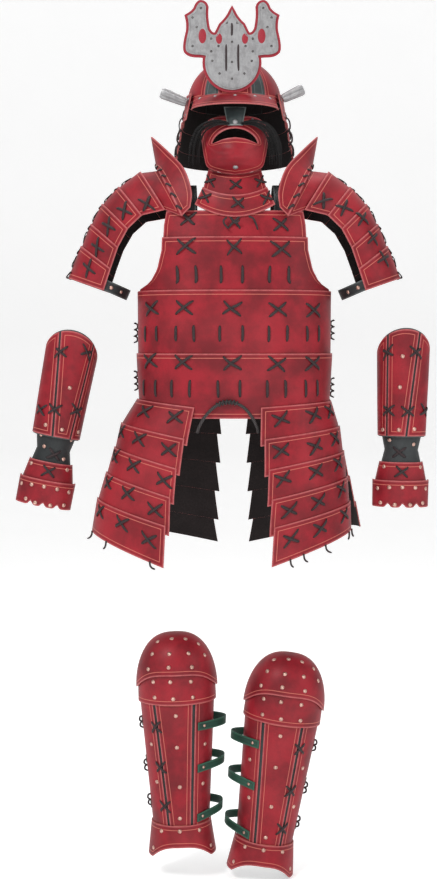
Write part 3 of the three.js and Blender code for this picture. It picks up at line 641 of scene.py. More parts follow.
CRIMSON = LeatherFinish(
    "crimson_leather",
    base=(0.30, 0.005, 0.015),
    deep=(0.14, 0.002, 0.007),
    worn=(0.43, 0.035, 0.045),
    rim=(0.47, 0.11, 0.11),
    line=(0.66, 0.18, 0.13),
)
SLATE = LeatherFinish(
    "slate_leather",
    base=(0.085, 0.105, 0.105),
    deep=(0.035, 0.046, 0.047),
    worn=(0.17, 0.20, 0.20),
    rim=(0.24, 0.27, 0.26),
    line=(0.14, 0.17, 0.17),
    gloss=0.15,
)
BLACK_STRAP = LeatherFinish(
    "black_leather",
    base=(0.030, 0.034, 0.035),
    deep=(0.014, 0.016, 0.017),
    worn=(0.07, 0.078, 0.08),
    rim=(0.09, 0.10, 0.10),
    line=(0.05, 0.055, 0.056),
    roughness=0.5,
    gloss=0.1,
)
GREEN_STRAP = LeatherFinish(
    "green_leather",
    base=(0.012, 0.066, 0.040),
    deep=(0.006, 0.030, 0.020),
    worn=(0.035, 0.13, 0.085),
    rim=(0.03, 0.11, 0.07),
    line=(0.02, 0.09, 0.06),
    line_inset=3.0,
    line_width=1.0,
    roughness=0.45,
)
PINK_EDGE = CutEdgeFinish("red_cut_edge", base=(0.54, 0.17, 0.16), deep=(0.32, 0.06, 0.06))
DARK_EDGE = CutEdgeFinish("dark_cut_edge", base=(0.10, 0.115, 0.11), deep=(0.04, 0.045, 0.045))
GREEN_EDGE = CutEdgeFinish("green_cut_edge", base=(0.03, 0.10, 0.065), deep=(0.01, 0.04, 0.025))
BACKING = CutEdgeFinish("red_backing", base=(0.36, 0.022, 0.04), deep=(0.24, 0.01, 0.02), roughness=0.4)
FLESH = FleshFinish("flesh_side", base=(0.030, 0.022, 0.022), deep=(0.012, 0.009, 0.009))
SILVER = RubbedMetalFinish(
    "rubbed_silver",
    bright=(0.38, 0.38, 0.385),
    dull=(0.27, 0.265, 0.27),
    metallic=0.7,
    roughness=0.4,
    scratch=9.0,
)
GUNMETAL = RubbedMetalFinish(
    "dark_studs", bright=(0.16, 0.155, 0.15), dull=(0.06, 0.055, 0.055), metallic=0.6
)
COPPER = RubbedMetalFinish(
    "copper_rivets", bright=(0.78, 0.52, 0.43), dull=(0.36, 0.19, 0.15), roughness=0.28, scratch=3.0
)
THONG = StrandFinish("lace_thong", base=(0.045, 0.024, 0.026), deep=(0.012, 0.007, 0.008), roughness=0.55)
CORD = StrandFinish(
    "plied_cord", base=(0.055, 0.046, 0.046), deep=(0.012, 0.010, 0.010), twist=9.0, depth=0.5
)
HAIR = StrandFinish(
    "black_horsehair", base=(0.022, 0.020, 0.021), deep=(0.004, 0.004, 0.004), roughness=0.34, streak=0.5
)


class Palette:
    """Makes each finish once and hands out its material."""

    def __init__(self) -> None:
        """Starts with no material made."""
        self._made: dict[str, bpy.types.Material] = {}

    def get(self, finish: "Finish") -> bpy.types.Material:
        """Gives the material of a finish.

        Args:
            finish: the finish.

        Returns:
            Its material, made at the first call.
        """
        if finish.name not in self._made:
            self._made[finish.name] = finish.make()
        return self._made[finish.name]


Finish = Union[LeatherFinish, CutEdgeFinish, FleshFinish, RubbedMetalFinish, StrandFinish]
PALETTE = Palette()


# Meshes.


@dataclass(frozen=True)
class Hide:
    """The three finishes of a sheet: its grain side, its flesh side and its cut edge."""

    grain: Finish
    edge: Finish
    flesh: Finish = FLESH

    def finishes(self) -> list[Finish]:
        """The finishes in the order that a solidified sheet numbers them."""
        return [self.grain, self.flesh, self.edge]


RED_HIDE = Hide(CRIMSON, PINK_EDGE)
WING_HIDE = Hide(CRIMSON, PINK_EDGE, CRIMSON)
SLATE_HIDE = Hide(SLATE, DARK_EDGE)
STRAP_HIDE = Hide(BLACK_STRAP, DARK_EDGE)
GREEN_HIDE = Hide(GREEN_STRAP, GREEN_EDGE, GREEN_STRAP)


def emit(
    name: str,
    mesh: bmesh.types.BMesh,
    finishes: Sequence[Finish],
    smooth: bool = True,
) -> bpy.types.Object:
    """Turns a finished bmesh into a piece of the armour that rides on the root.

    Args:
        name: the piece's name.
        mesh: its mesh, which is freed.
        finishes: the finishes in the order of the faces' material numbers.
        smooth: whether its faces are shaded as one round surface.

    Returns:
        The object, at the origin.
    """
    data = bpy.data.meshes.new(name)
    for face in mesh.faces:
        face.smooth = smooth
    mesh.to_mesh(data)
    mesh.free()
    for finish in finishes:
        data.materials.append(PALETTE.get(finish))
    piece = bpy.data.objects.new(name, data)
    bpy.context.scene.collection.objects.link(piece)
    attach(piece, ROOT)
    LOG.info("%s: %d faces before its modifiers", name, len(data.polygons))
    return piece


def bevelled(piece: bpy.types.Object, width: float) -> None:
    """Rounds a piece's sharp edges.

    Args:
        piece: the piece.
        width: the width of the rounding, in millimetres.
    """
    bevel = piece.modifiers.new("Eased edges", "BEVEL")
    bevel.width = width * MM
    bevel.segments = 2
    bevel.limit_method = "ANGLE"
    bevel.angle_limit = math.radians(50)
    bevel.harden_normals = True


def grid_points(mesh: bmesh.types.BMesh, columns: int, rows: int) -> Cells:
    """Adds a flat grid and numbers its points by column and row, from the top left.

    Args:
        mesh: the bmesh that it is added to.
        columns: spaces across.
        rows: spaces down.

    Returns:
        The points by (column, row).
    """
    made = bmesh.ops.create_grid(mesh, x_segments=columns, y_segments=rows, size=1.0)
    cells = {}
    for vert in made["verts"]:
        column = round((vert.co.x + 1) / 2 * columns)
        row = round((1 - vert.co.y) / 2 * rows)
        cells[column, row] = vert
    return cells


class Leatherwork:
    """Collects sheets that are cut and laid on surfaces, and joins them in one piece."""

    def __init__(self, name: str, hides: Sequence[Hide] = (RED_HIDE,)) -> None:
        """Starts an empty piece.

        Args:
            name: the piece's name.
            hides: the hides that its sheets are cut from.
        """
        self.name = name
        self.hides = list(hides)
        self.mesh = bmesh.new()
        self.uv = self.mesh.loops.layers.uv.new("Cut")
        vectors = self.mesh.verts.layers.float_vector
        numbers = self.mesh.verts.layers.float
        self.layers = {
            "cut": (vectors.new("cut_edges"), numbers.new("cut_foot")),
            "scored": (vectors.new("scored_edges"), numbers.new("scored_foot")),
        }

    def lay(
        self,
        surface: Surface,
        columns: int = 24,
        rows: int = 8,
        scored: Edges = Edges.ARCH,
        hide: int = 0,
        cut: Edges = Edges.ALL,
    ) -> None:
        """Lays one sheet.

        Args:
            surface: the sheet's outer face.
            columns: grid spaces across.
            rows: grid spaces down.
            scored: the edges that have a scored line beside them.
            hide: which of the piece's hides it is cut from.
            cut: the edges that are real cut edges; a closed band has none at its ends.
        """
        cells = grid_points(self.mesh, columns, rows)
        faces = {face for vert in cells.values() for face in vert.link_faces}
        for (column, row), vert in cells.items():
            vert.co = surface(column / columns, row / rows, 0.0) * MM
        across = {(0, row): 0.0 for row in range(rows + 1)}
        down = {(column, 0): 0.0 for column in range(columns + 1)}
        for row in range(rows + 1):
            for column in range(1, columns + 1):
                step = (cells[column, row].co - cells[column - 1, row].co).length
                across[column, row] = across[column - 1, row] + step
        for column in range(columns + 1):
            for row in range(1, rows + 1):
                step = (cells[column, row].co - cells[column, row - 1].co).length
                down[column, row] = down[column, row - 1] + step
        places = {}
        for (column, row), vert in cells.items():
            distances = {
                Edges.START: across[column, row],
                Edges.END: across[columns, row] - across[column, row],
                Edges.TOP: down[column, row],
                Edges.FOOT: down[column, rows] - down[column, row],
            }
            places[vert] = (across[column, row], down[column, row])
            for key, chosen in (("cut", cut), ("scored", scored)):
                kept = {edge: d if edge in chosen else FAR for edge, d in distances.items()}
                vector, number = self.layers[key]
                vert[vector] = (kept[Edges.START], kept[Edges.END], kept[Edges.TOP])
                vert[number] = kept[Edges.FOOT]
        for face in faces:
            face.material_index = 3 * hide
            for loop in face.loops:
                loop[self.uv].uv = places[loop.vert]
        middle = cells[columns // 2, rows // 2].link_faces[0]
        outward = surface(0.5, 0.5, 1.0) - surface(0.5, 0.5, 0.0)
        middle.normal_update()
        if middle.normal.dot(outward) < 0:
            bmesh.ops.reverse_faces(self.mesh, faces=list(faces))

    def finish(self, slot: str, thickness: float = LEATHER, ease: float = 0.55) -> bpy.types.Object:
        """Gives the sheets their thickness and eased edges.

        Args:
            slot: the material slot of the record; the argument is not used.
            thickness: the leather's thickness, in millimetres.
            ease: the width of the eased edge, in millimetres.

        Returns:
            The finished piece.
        """
        bmesh.ops.remove_doubles(self.mesh, verts=self.mesh.verts, dist=0.01 * MM)
        finishes = [finish for hide in self.hides for finish in hide.finishes()]
        piece = emit(self.name, self.mesh, finishes)
        shell = piece.modifiers.new("Thickness", "SOLIDIFY")
        shell.thickness = thickness * MM
        shell.offset = -1.0
        shell.material_offset = 1
        shell.material_offset_rim = 2
        bevelled(piece, ease)
        return piece


class Spot(NamedTuple):
    """A place on a sheet, with the shares of its width and height that make a millimetre."""

    u: float
    v: float
    du: float
    dv: float


def spot_at(surface: Surface, u: float, v: float) -> Spot:
    """Measures a sheet around one place.

    Args:
        surface: the sheet's face.
        u: the share across.
        v: the share down.

    Returns:
        The spot there.
    """
    across = (surface(u + NUDGE, v, 0.0) - surface(u - NUDGE, v, 0.0)).length / (2 * NUDGE)
    down = (surface(u, v + NUDGE, 0.0) - surface(u, v - NUDGE, 0.0)).length / (2 * NUDGE)
    return Spot(u, v, 1 / max(across, 1e-6), 1 / max(down, 1e-6))


def find_spot(surface: Surface, x: float, z: float, start: tuple[float, float] = (0.5, 0.5)) -> Spot:
    """Finds the place on a sheet that shows at given front-elevation coordinates.

    Args:
        surface: the sheet's face.
        x: the distance to the right of the middle plane, in millimetres.
        z: the height, in millimetres.
        start: the first guess.

    Returns:
        The nearest place that the search reaches, inside the sheet.
    """
    u, v = start
    for _ in range(SEARCH_STEPS):
        here = surface(u, v, 0.0)
        along = (surface(u + NUDGE, v, 0.0) - surface(u - NUDGE, v, 0.0)) / (2 * NUDGE)
        down = (surface(u, v + NUDGE, 0.0) - surface(u, v - NUDGE, 0.0)) / (2 * NUDGE)
        gap_x, gap_z = x - here.x, z - here.z
        turn = along.x * down.z - down.x * along.z
        if abs(turn) < 1e-3:
            break
        step_u = (gap_x * down.z - gap_z * down.x) / turn
        step_v = (along.x * gap_z - along.z * gap_x) / turn
        u = clamped(u + SEARCH_PACE * clamped(step_u, -SEARCH_REACH, SEARCH_REACH), RIM_SHARE, 1 - RIM_SHARE)
        v = clamped(v + SEARCH_PACE * clamped(step_v, -SEARCH_REACH, SEARCH_REACH), RIM_SHARE, 1 - RIM_SHARE)
    return spot_at(surface, u, v)


def sweep(
    mesh: bmesh.types.BMesh,
    uv: bmesh.types.BMLayerItem,
    points: Sequence[Vector],
    radii: Sequence[float],
    sides: int,
) -> None:
    """Bends a grid into a closed tube.

    Args:
        mesh: the bmesh that it is added to.
        uv: the layer that gets the distance along and the distance round.
        points: the centreline, in metres.
        radii: the radius at each point, in millimetres.
        sides: the number of sides of the section.
    """
    last = len(points) - 1
    cells = grid_points(mesh, sides, last)
    faces = {face for vert in cells.values() for face in vert.link_faces}
    travelled = [0.0]
    for a, b in zip(points, points[1:]):
        travelled.append(travelled[-1] + (b - a).length)
    ahead = (points[1] - points[0]).normalized()
    turn = ahead.to_track_quat("Z", "Y")
    for row, point in enumerate(points):
        along = (points[min(row + 1, last)] - points[max(row - 1, 0)]).normalized()
        turn = ahead.rotation_difference(along) @ turn
        ahead = along
        for column in range(sides + 1):
            angle = 2 * math.pi * column / sides
            spoke = Vector((math.cos(angle), math.sin(angle), 0)) * radii[row] * MM
            cells[column, row].co = point + turn @ spoke
    numbers = {vert: key for key, vert in cells.items()}
    for face in faces:
        for loop in face.loops:
            column, row = numbers[loop.vert]
            loop[uv].uv = (travelled[row], 2 * math.pi * column / sides * radii[row] * MM)
    seam = {cells[sides, row]: cells[0, row] for row in range(last + 1)}
    bmesh.ops.weld_verts(mesh, targetmap=seam)
    for row in (0, last):
        ring = [cells[column, row] for column in range(sides)]
        ends = {edge for vert in ring for edge in vert.link_edges if edge.is_boundary}
        bmesh.ops.holes_fill(mesh, edges=list(ends), sides=sides)
    kept = [vert for (column, _), vert in cells.items() if column < sides]
    skin = {face for vert in kept for face in vert.link_faces}
    bmesh.ops.recalc_face_normals(mesh, faces=list(skin))


class Lacework:
    """Collects flat thongs that are laced through leather, and joins them in one piece."""

    WIDTH = 5.2
    NARROW = 4.6  # on small lames
    TAIL = 3.6
    THICKNESS = 1.3
    STRAY = 0.8  # how far a hole strays from its mark
    BOW = 0.7  # how far a thong bows to one side
    DEPTH = 0.9  # how far its ends go into the leather

    def __init__(self, name: str, seed: int) -> None:
        """Starts an empty piece.

        Args:
            name: the piece's name.
            seed: sets its small irregularities apart from another's.
        """
        self.name = name
        self.random = random.Random(seed)
        self.mesh = bmesh.new()
        self.uv = self.mesh.loops.layers.uv.new("Cut")

    def _strip(
        self,
        place: Callable[[float, float], Vector],
        length: float,
        width: float,
        steps: int,
    ) -> None:
        """Adds a strip.

        Args:
            place: gives the point at a share along it and a place across it, from -1 to 1.
            length: the strip's length, in millimetres.
            width: its width, in millimetres.
            steps: grid spaces along it.
        """
        cells = grid_points(self.mesh, steps, 2)
        offset = self.random.uniform(0, 1)
        shares = {vert: (column / steps, row - 1) for (column, row), vert in cells.items()}
        for vert, (share, side) in shares.items():
            vert.co = place(share, side) * MM
        for face in {face for vert in cells.values() for face in vert.link_faces}:
            for loop in face.loops:
                share, side = shares[loop.vert]
                loop[self.uv].uv = (share * length * MM + offset, side * width / 2 * MM + offset)

    def stitch(
        self,
        surface: Surface,
        spot: Spot,
        start: tuple[float, float],
        end: tuple[float, float],
        rise: float = 2.2,
        width: float = WIDTH,
    ) -> None:
        """Lays one thong on a sheet, from hole to hole.

        Args:
            surface: the face of the sheet.
            spot: the place that start and end are measured from.
            start: millimetres across and down from the spot.
            end: millimetres across and down from the spot.
            rise: how high the thong stands at its middle, in millimetres.
            width: the thong's width, in millimetres.
        """
        stray = [self.random.uniform(-self.STRAY, self.STRAY) for _ in range(4)]
        a, b = start[0] + stray[0], start[1] + stray[1]
        c, d = end[0] + stray[2], end[1] + stray[3]
        length = math.hypot(c - a, d - b)
        normal_across, normal_down = (b - d) / length, (c - a) / length
        bow = self.random.uniform(-self.BOW, self.BOW)

        def place(share: float, side: float) -> Vector:
            """The point on the thong, which dives into its holes.

            Args:
                share: the share along it.
                side: the share across it, from -1 to 1.

            Returns:
                The point.
            """
            pinch = 1 - 0.45 * (2 * share - 1) ** 6
            sway = bow * math.sin(math.pi * share) + side * width / 2 * pinch
            across = lerp(a, c, share) + normal_across * sway
            down = lerp(b, d, share) + normal_down * sway
            arch = (1 - (2 * share - 1) ** 4) ** 0.5
            proud = self.THICKNESS * 0.2 + (rise + self.DEPTH) * arch - self.DEPTH - 0.35 * side**2
            return surface(spot.u + across * spot.du, spot.v + down * spot.dv, proud)

        self._strip(place, length, width, 8)

    def cross(
        self,
        surface: Surface,
        spot: Spot,
        width: float = 33.0,
        height: float = 26.0,
        turn: float = 0.0,
        thong: float = WIDTH,
    ) -> None:
        """Laces a cross of two thongs.

        Args:
            surface: the face of the sheet.
            spot: the middle of the cross.
            width: its width, in millimetres.
            height: its height, in millimetres.
            turn: how far it is turned, in degrees.
            thong: the thong's width, in millimetres.
        """
        angle = math.radians(turn + self.random.uniform(-5, 5))
        arms = []
        for sign in (-1, 1):
            across, down = sign * width / 2, height / 2
            reach_x = across * math.cos(angle) - down * math.sin(angle)
            reach_y = across * math.sin(angle) + down * math.cos(angle)
            arms.append((reach_x, reach_y))
        if self.random.random() < 0.5:
            arms.reverse()
        for rise, (reach_x, reach_y) in zip((1.4, 2.7), arms):
            self.stitch(surface, spot, (-reach_x, -reach_y), (reach_x, reach_y), rise, thong)

    def tail(self, points: Sequence[Vector], width: float = TAIL, face: Vector = FORWARD) -> None:
        """Adds a free end or an edge loop of thong through given points.

        Args:
            points: the places that it passes through, in millimetres.
            width: the thong's width.
            face: the way that its flat side looks.
        """
        length = sum((b - a).length for a, b in zip(points, points[1:]))
        spin = self.random.uniform(-0.9, 0.9)

        def place(share: float, side: float) -> Vector:
            """The point on the tail, which narrows at its end.

            Args:
                share: the share along it.
                side: the share across it, from -1 to 1.

            Returns:
                The point.
            """
            middle = smooth_curve(points, share)
            along = smooth_curve(points, min(share + 0.02, 1)) - smooth_curve(points, max(share - 0.02, 0))
            look = Matrix.Rotation(spin * share, 3, along.normalized()) @ face
            sideways = along.cross(look).normalized()
            taper = 1 - 0.35 * max(0.0, share - 0.8) / 0.2
            return middle + sideways * side * width / 2 * taper

        self._strip(place, length, width, 3 * (len(points) - 1) + 2)

    def finish(self, slot: str = "dark_leather") -> bpy.types.Object:
        """Gives the thongs their thickness.

        Args:
            slot: the material slot of the record; the argument is not used.

        Returns:
            The finished piece.
        """
        piece = emit(self.name, self.mesh, [THONG])
        shell = piece.modifiers.new("Thickness", "SOLIDIFY")
        shell.thickness = self.THICKNESS * MM
        shell.offset = 0.0
        return piece


class Rivetwork:
    """Collects domed rivets with a rolled rim, and joins them in one piece."""

    RADIUS = 3.6
    DOME = 0.48  # the dome's height, as a share of the radius
    RIM = 0.22  # the rim's height, as a share of its own radius
    RIM_REACH = 1.22  # the rim's radius, as a share of the dome's

    def __init__(self, name: str) -> None:
        """Starts an empty piece."""
        self.name = name
        self.mesh = bmesh.new()

    def set(self, surface: Surface, spot: Spot, radius: float = RADIUS) -> None:
        """Sets one rivet flat on a sheet.

        Args:
            surface: the face of the sheet.
            spot: where it sits.
            radius: the rivet's radius, in millimetres.
        """
        middle = surface(spot.u, spot.v, 0.0)
        step_u, step_v = 2 * spot.du, 2 * spot.dv
        across = surface(spot.u + step_u, spot.v, 0.0) - surface(spot.u - step_u, spot.v, 0.0)
        down = surface(spot.u, spot.v + step_v, 0.0) - surface(spot.u, spot.v - step_v, 0.0)
        normal = across.cross(down).normalized()
        if normal.dot(surface(spot.u, spot.v, 1.0) - middle) < 0:
            normal.negate()
        turn = normal.to_track_quat("Z", "Y").to_matrix().to_4x4()
        place = Matrix.Translation(middle * MM) @ turn
        for reach, height, rings in ((1.0, self.DOME, 6), (self.RIM_REACH, self.RIM, 4)):
            matrix = place @ Matrix.Diagonal((1.0, 1.0, height, 1.0))
            size = radius * reach * MM
            bmesh.ops.create_uvsphere(self.mesh, u_segments=12, v_segments=rings, radius=size, matrix=matrix)

    def finish(self, finish: RubbedMetalFinish = COPPER) -> bpy.types.Object:
        """Gives the finished piece."""
        return emit(self.name, self.mesh, [finish])


# The pieces of the set.

TRUNK_POWER = 0.8
# Height, half-width, front depth and back depth of the trunk's squarish oval.
TRUNK = (
    (20.0, 184.0, 112.0, 100.0),
    (-45.0, 188.0, 119.0, 106.0),
    (-96.0, 190.0, 126.0, 110.0),
    (-200.0, 192.0, 132.0, 112.0),
    (-330.0, 195.0, 130.0, 110.0),
    (-450.0, 192.0, 130.0, 112.0),
)
HALF_WIDTH, FRONT_DEPTH, BACK_DEPTH = 1, 2, 3


def oval(angle: float, a: float, b: float) -> tuple[float, float]:
    """Finds a point of a squarish oval.

    Args:
        angle: the angle from the middle of the front, in radians.
        a: the oval's half-width.
        b: its half-depth.

    Returns:
        The point (x, y).
    """
    across, ahead = math.sin(angle), math.cos(angle)
    x = a * math.copysign(abs(across) ** TRUNK_POWER, across)
    y = -b * math.copysign(abs(ahead) ** TRUNK_POWER, ahead)
    return x, y


def oval_angle(x: float, a: float) -> float:
    """The angle at which the oval reaches a distance from the middle plane."""
    return math.asin(min(abs(x) / a, 1.0) ** (1 / TRUNK_POWER))


def trunk_point(angle: float, z: float, proud: float, back: bool = False) -> Vector:
    """Finds a point of the trunk.

    Args:
        angle: the angle from the middle of the front or back, in radians.
        z: the height.
        proud: how far the point stands off the face.
        back: whether it lies on the back.

    Returns:
        The point.
    """
    depth = read_row(TRUNK, z, BACK_DEPTH if back else FRONT_DEPTH)
    x, y = oval(angle, read_row(TRUNK, z, HALF_WIDTH) + proud, depth + proud)
    return Vector((x, -y if back else y, z))


@dataclass(frozen=True)
class Band:
    """One horizontal band of the cuirass, with its laces in the front elevation."""

    top: float
    foot: float
    lift: float
    crosses: Sequence[tuple[float, float]]
    stitch_columns: Sequence[float] = ()
    stitch_z: tuple[float, float] = (0.0, 0.0)
    scored: Edges = Edges.ARCH
    cross_size: tuple[float, float] = (37.0, 28.0)


@dataclass
class Cuirass:
    """Four lapped bands in front and behind, laced together, with shoulder straps inside."""

    armhole: Sequence[tuple[float, float]] = (
        (-45.0, 134.0),
        (-72.0, 139.0),
        (-121.0, 142.0),
        (-159.0, 152.0),
        (-179.0, 164.0),
        (-192.0, 178.0),
        (-199.0, 200.0),
    )
    bands: Sequence[Band] = (
        Band(-45, -108, 0.0, ((-91, -61), (-2, -68), (89, -72)), cross_size=(30.0, 26.0)),
        Band(
            -96,
            -212,
            SHINGLE,
            ((-95, -115), (-2, -117), (89, -120)),
            (-114, -77, -27, 14, 68, 106),
            (-152, -187),
            cross_size=(40.0, 31.0),
        ),
        Band(
            -199,
            -336,
            SHINGLE,
            ((-164, -234), (-99, -234), (-8, -235), (84, -237), (155, -238)),
            (-177, -153, -115, -80, -29, 14, 65, 102, 141, 165),
            (-268, -300),
        ),
        Band(
            -323,
            -450,
            SHINGLE,
            ((-168, -338), (-101, -340), (-8, -341), (82, -343), (154, -343)),
            (-180, -156, -123, -88, -33, 10, 63, 98, 139, 163),
            (-374, -409),
            Edges.ALL,
        ),
    )
    strap_inner: float = 76.0
    strap_outer: float = 120.0
    strap_tail: float = -84.0
    strap_shoulder: float = -45.0
    strap_crown: float = 14.0
    strap_tail_share: float = 0.18
    strap_play: float = 0.8
    seam_levels: dict[Side, tuple[float, float]] = field(
        default_factory=lambda: {Side.LEFT: (-262, -359), Side.RIGHT: (-256, -373)}
    )
    seam_loops: int = 3
    seam_pitch: float = 13.0
    # How far out, how deep and how far down a loop of the side seam passes.
    seam_route: Sequence[tuple[float, float, float]] = (
        (9, -9, 0),
        (3.5, -4, 3),
        (3, 1, 10),
        (10, 6, 14),
    )

    def _end(self, z: float) -> float:
        """The angle at which a band ends at a height, at the armhole or the side seam."""
        reach = read_row(self.armhole, z, 1)
        return min(oval_angle(reach, read_row(TRUNK, z, HALF_WIDTH)), math.radians(89.98))

    def band_surface(self, band: Band, back: bool) -> Surface:
        """Gives the outer face of a band.

        Args:
            band: the band.
            back: whether it lies on the back.

        Returns:
            Its face.
        """

        def place(u: float, v: float, proud: float) -> Vector:
            """The point on the band."""
            z = lerp(band.top, band.foot, v)
            return trunk_point((2 * u - 1) * self._end(z), z, proud + band.lift * (1 - v), back)

        return place

    def strap_surface(self, u: float, v: float, proud: float) -> Vector:
        """The face of the right shoulder strap, from its front tail over the shoulder to the back.

        Args:
            u: the share across the strap.
            v: the share along it.
            proud: how far the point stands off the face.

        Returns:
            The point.
        """
        x = lerp(self.strap_inner, self.strap_outer, u)
        inside = -LEATHER - self.strap_play

        def edge(z: float, back: bool) -> float:
            """How deep the inner face of the cuirass lies at a height."""
            half_width = read_row(TRUNK, z, HALF_WIDTH) + inside
            return abs(trunk_point(oval_angle(x, half_width), z, inside, back).y)

        share = self.strap_tail_share
        if v < share:
            z = lerp(self.strap_tail, self.strap_shoulder, v / share)
            return Vector((x, -edge(z, False) - proud, z))
        if v > 1 - share:
            z = lerp(self.strap_tail, self.strap_shoulder, (1 - v) / share)
            return Vector((x, edge(z, True) + proud, z))
        turn = math.pi * (v - share) / (1 - 2 * share)
        depth = edge(self.strap_shoulder, turn > math.pi / 2)
        z = self.strap_shoulder + (self.strap_crown - self.strap_shoulder + proud) * math.sin(turn)
        return Vector((x, -math.cos(turn) * (depth + proud), z))

    def build(self) -> None:
        """Builds the bands, straps and laces."""
        for back in (False, True):
            word = "back" if back else "front"
            laces = Lacework(f"cuirass_{word}_laces", seed=11 + back)
            for i, band in enumerate(self.bands):
                name = f"cuirass_{word}_{i + 1}"
                even = self.band_surface(band, back)
                surface = rippled(even, 0.45, seed=i + 5.0 * back)
                leather = Leatherwork(f"{name}_leather")
                leather.lay(surface, 44, 14, band.scored)
                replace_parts(leather.finish("red_leather"), name)
                self._lace(laces, surface, band)
            if not back:
                self._side_seams(laces)
            laces.finish()
        for side in Side:
            strap = Leatherwork(f"shoulder_strap_{side.label}_leather", [STRAP_HIDE])
            strap.lay(mirrored(side, self.strap_surface), 4, 40, Edges.NONE)
            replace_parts(strap.finish("dark_leather"), f"shoulder_strap_{side.label}")

    def _lace(self, laces: Lacework, surface: Surface, band: Band) -> None:
        """Laces one band to the one above it, and sews its row of single stitches.

        Args:
            laces: the piece that the thongs join.
            surface: the band's face.
            band: the band.
        """
        for x, z in band.crosses:
            laces.cross(surface, find_spot(surface, x, z), *band.cross_size)
        top, foot = band.stitch_z
        for x in band.stitch_columns:
            spot = find_spot(surface, x, (top + foot) / 2)
            ends = [find_spot(surface, x, z) for z in (top, foot)]
            start, end = (((e.u - spot.u) / spot.du, (e.v - spot.v) / spot.dv) for e in ends)
            laces.stitch(surface, spot, start, end, 1.5)

    def _side_seams(self, laces: Lacework) -> None:
        """Adds the loops that lace front and back together at the sides.

        Args:
            laces: the piece that the thongs join.
        """
        for side, levels in self.seam_levels.items():
            for level, step in ((level, step) for level in levels for step in range(self.seam_loops)):
                z = level - self.seam_pitch * step
                half = read_row(TRUNK, z, HALF_WIDTH)
                points = [(side.value * (half + out), y, z - drop) for out, y, drop in self.seam_route]
                laces.tail([Vector(point) for point in points], face=Vector((0.6 * side.value, -0.8, 0)))


@dataclass(frozen=True)
class ThroatLame:
    """One hanging lame of the throat guard."""

    name: str
    lift: float
    z: tuple[float, float]
    rise: tuple[float, float]
    half: tuple[float, float]
    depth: tuple[float, float]
    bend: tuple[float, float]
    crosses: Sequence[tuple[float, float]]


@dataclass
class ThroatGuard:
    """Two lames under the chin, laced to the chest."""

    lames: Sequence[ThroatLame] = (
        ThroatLame(
            "upper",
            0.0,
            (28, -28),
            (12, 20),
            (52, 64),
            (89.1, 116.5),
            (0.0085, 0.0042),
            ((2, 6), (-48, 14), (50, 14)),
        ),
        ThroatLame(
            "lower",
            SHINGLE,
            (-15, -58),
            (17, 25),
            (63, 78),
            (113.9, 124),
            (0.0045, 0.0008),
            ((5, -31), (-58, -18), (62, -20)),
        ),
    )
    tail_y: float = -131.5
    tail_rise: float = 0.6
    tail_width: float = 3.8
    tails: Sequence[Sequence[tuple[float, float]]] = (
        ((-16, -60), (-22, -66), (-20, -74), (-12, -82)),
        ((26, -58), (35, -62), (40, -72), (44, -84)),
        ((-6, -66), (2, -70), (9, -66)),
    )

    @staticmethod
    def surface(lame: ThroatLame) -> Surface:
        """Gives the outer face of a lame.

        Args:
            lame: the lame.

        Returns:
            Its face.
        """

        def place(u: float, v: float, proud: float) -> Vector:
            """The point on the lame.

            Args:
                u: the share across.
                v: the share down.
                proud: how far the point stands off the face.

            Returns:
                The point.
            """
            share = 2 * u - 1
            x = share * lerp(*lame.half, v)
            z = lerp(*lame.z, v) + lerp(*lame.rise, v) * share**2
            depth = lerp(*lame.depth, v) - lerp(*lame.bend, v) * x**2
            return Vector((x, -depth - proud - lame.lift * (1 - v), z))

        return place

    def build(self) -> None:
        """Builds the lames and their laces."""
        laces = Lacework("throat_guard_laces", seed=21)
        for i, lame in enumerate(self.lames):
            surface = rippled(self.surface(lame), 0.3, seed=20.0 + i)
            leather = Leatherwork(f"throat_guard_{lame.name}_leather")
            leather.lay(surface, 28, 10, Edges.ALL)
            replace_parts(leather.finish("red_leather"), f"throat_guard_{lame.name}")
            for x, z in lame.crosses:
                laces.cross(surface, find_spot(surface, x, z), 24.0, 21.0, thong=laces.NARROW)
        for route in self.tails:
            points = [Vector((x, self.tail_y - self.tail_rise * k, z)) for k, (x, z) in enumerate(route)]
            laces.tail(points, self.tail_width)
        laces.finish()


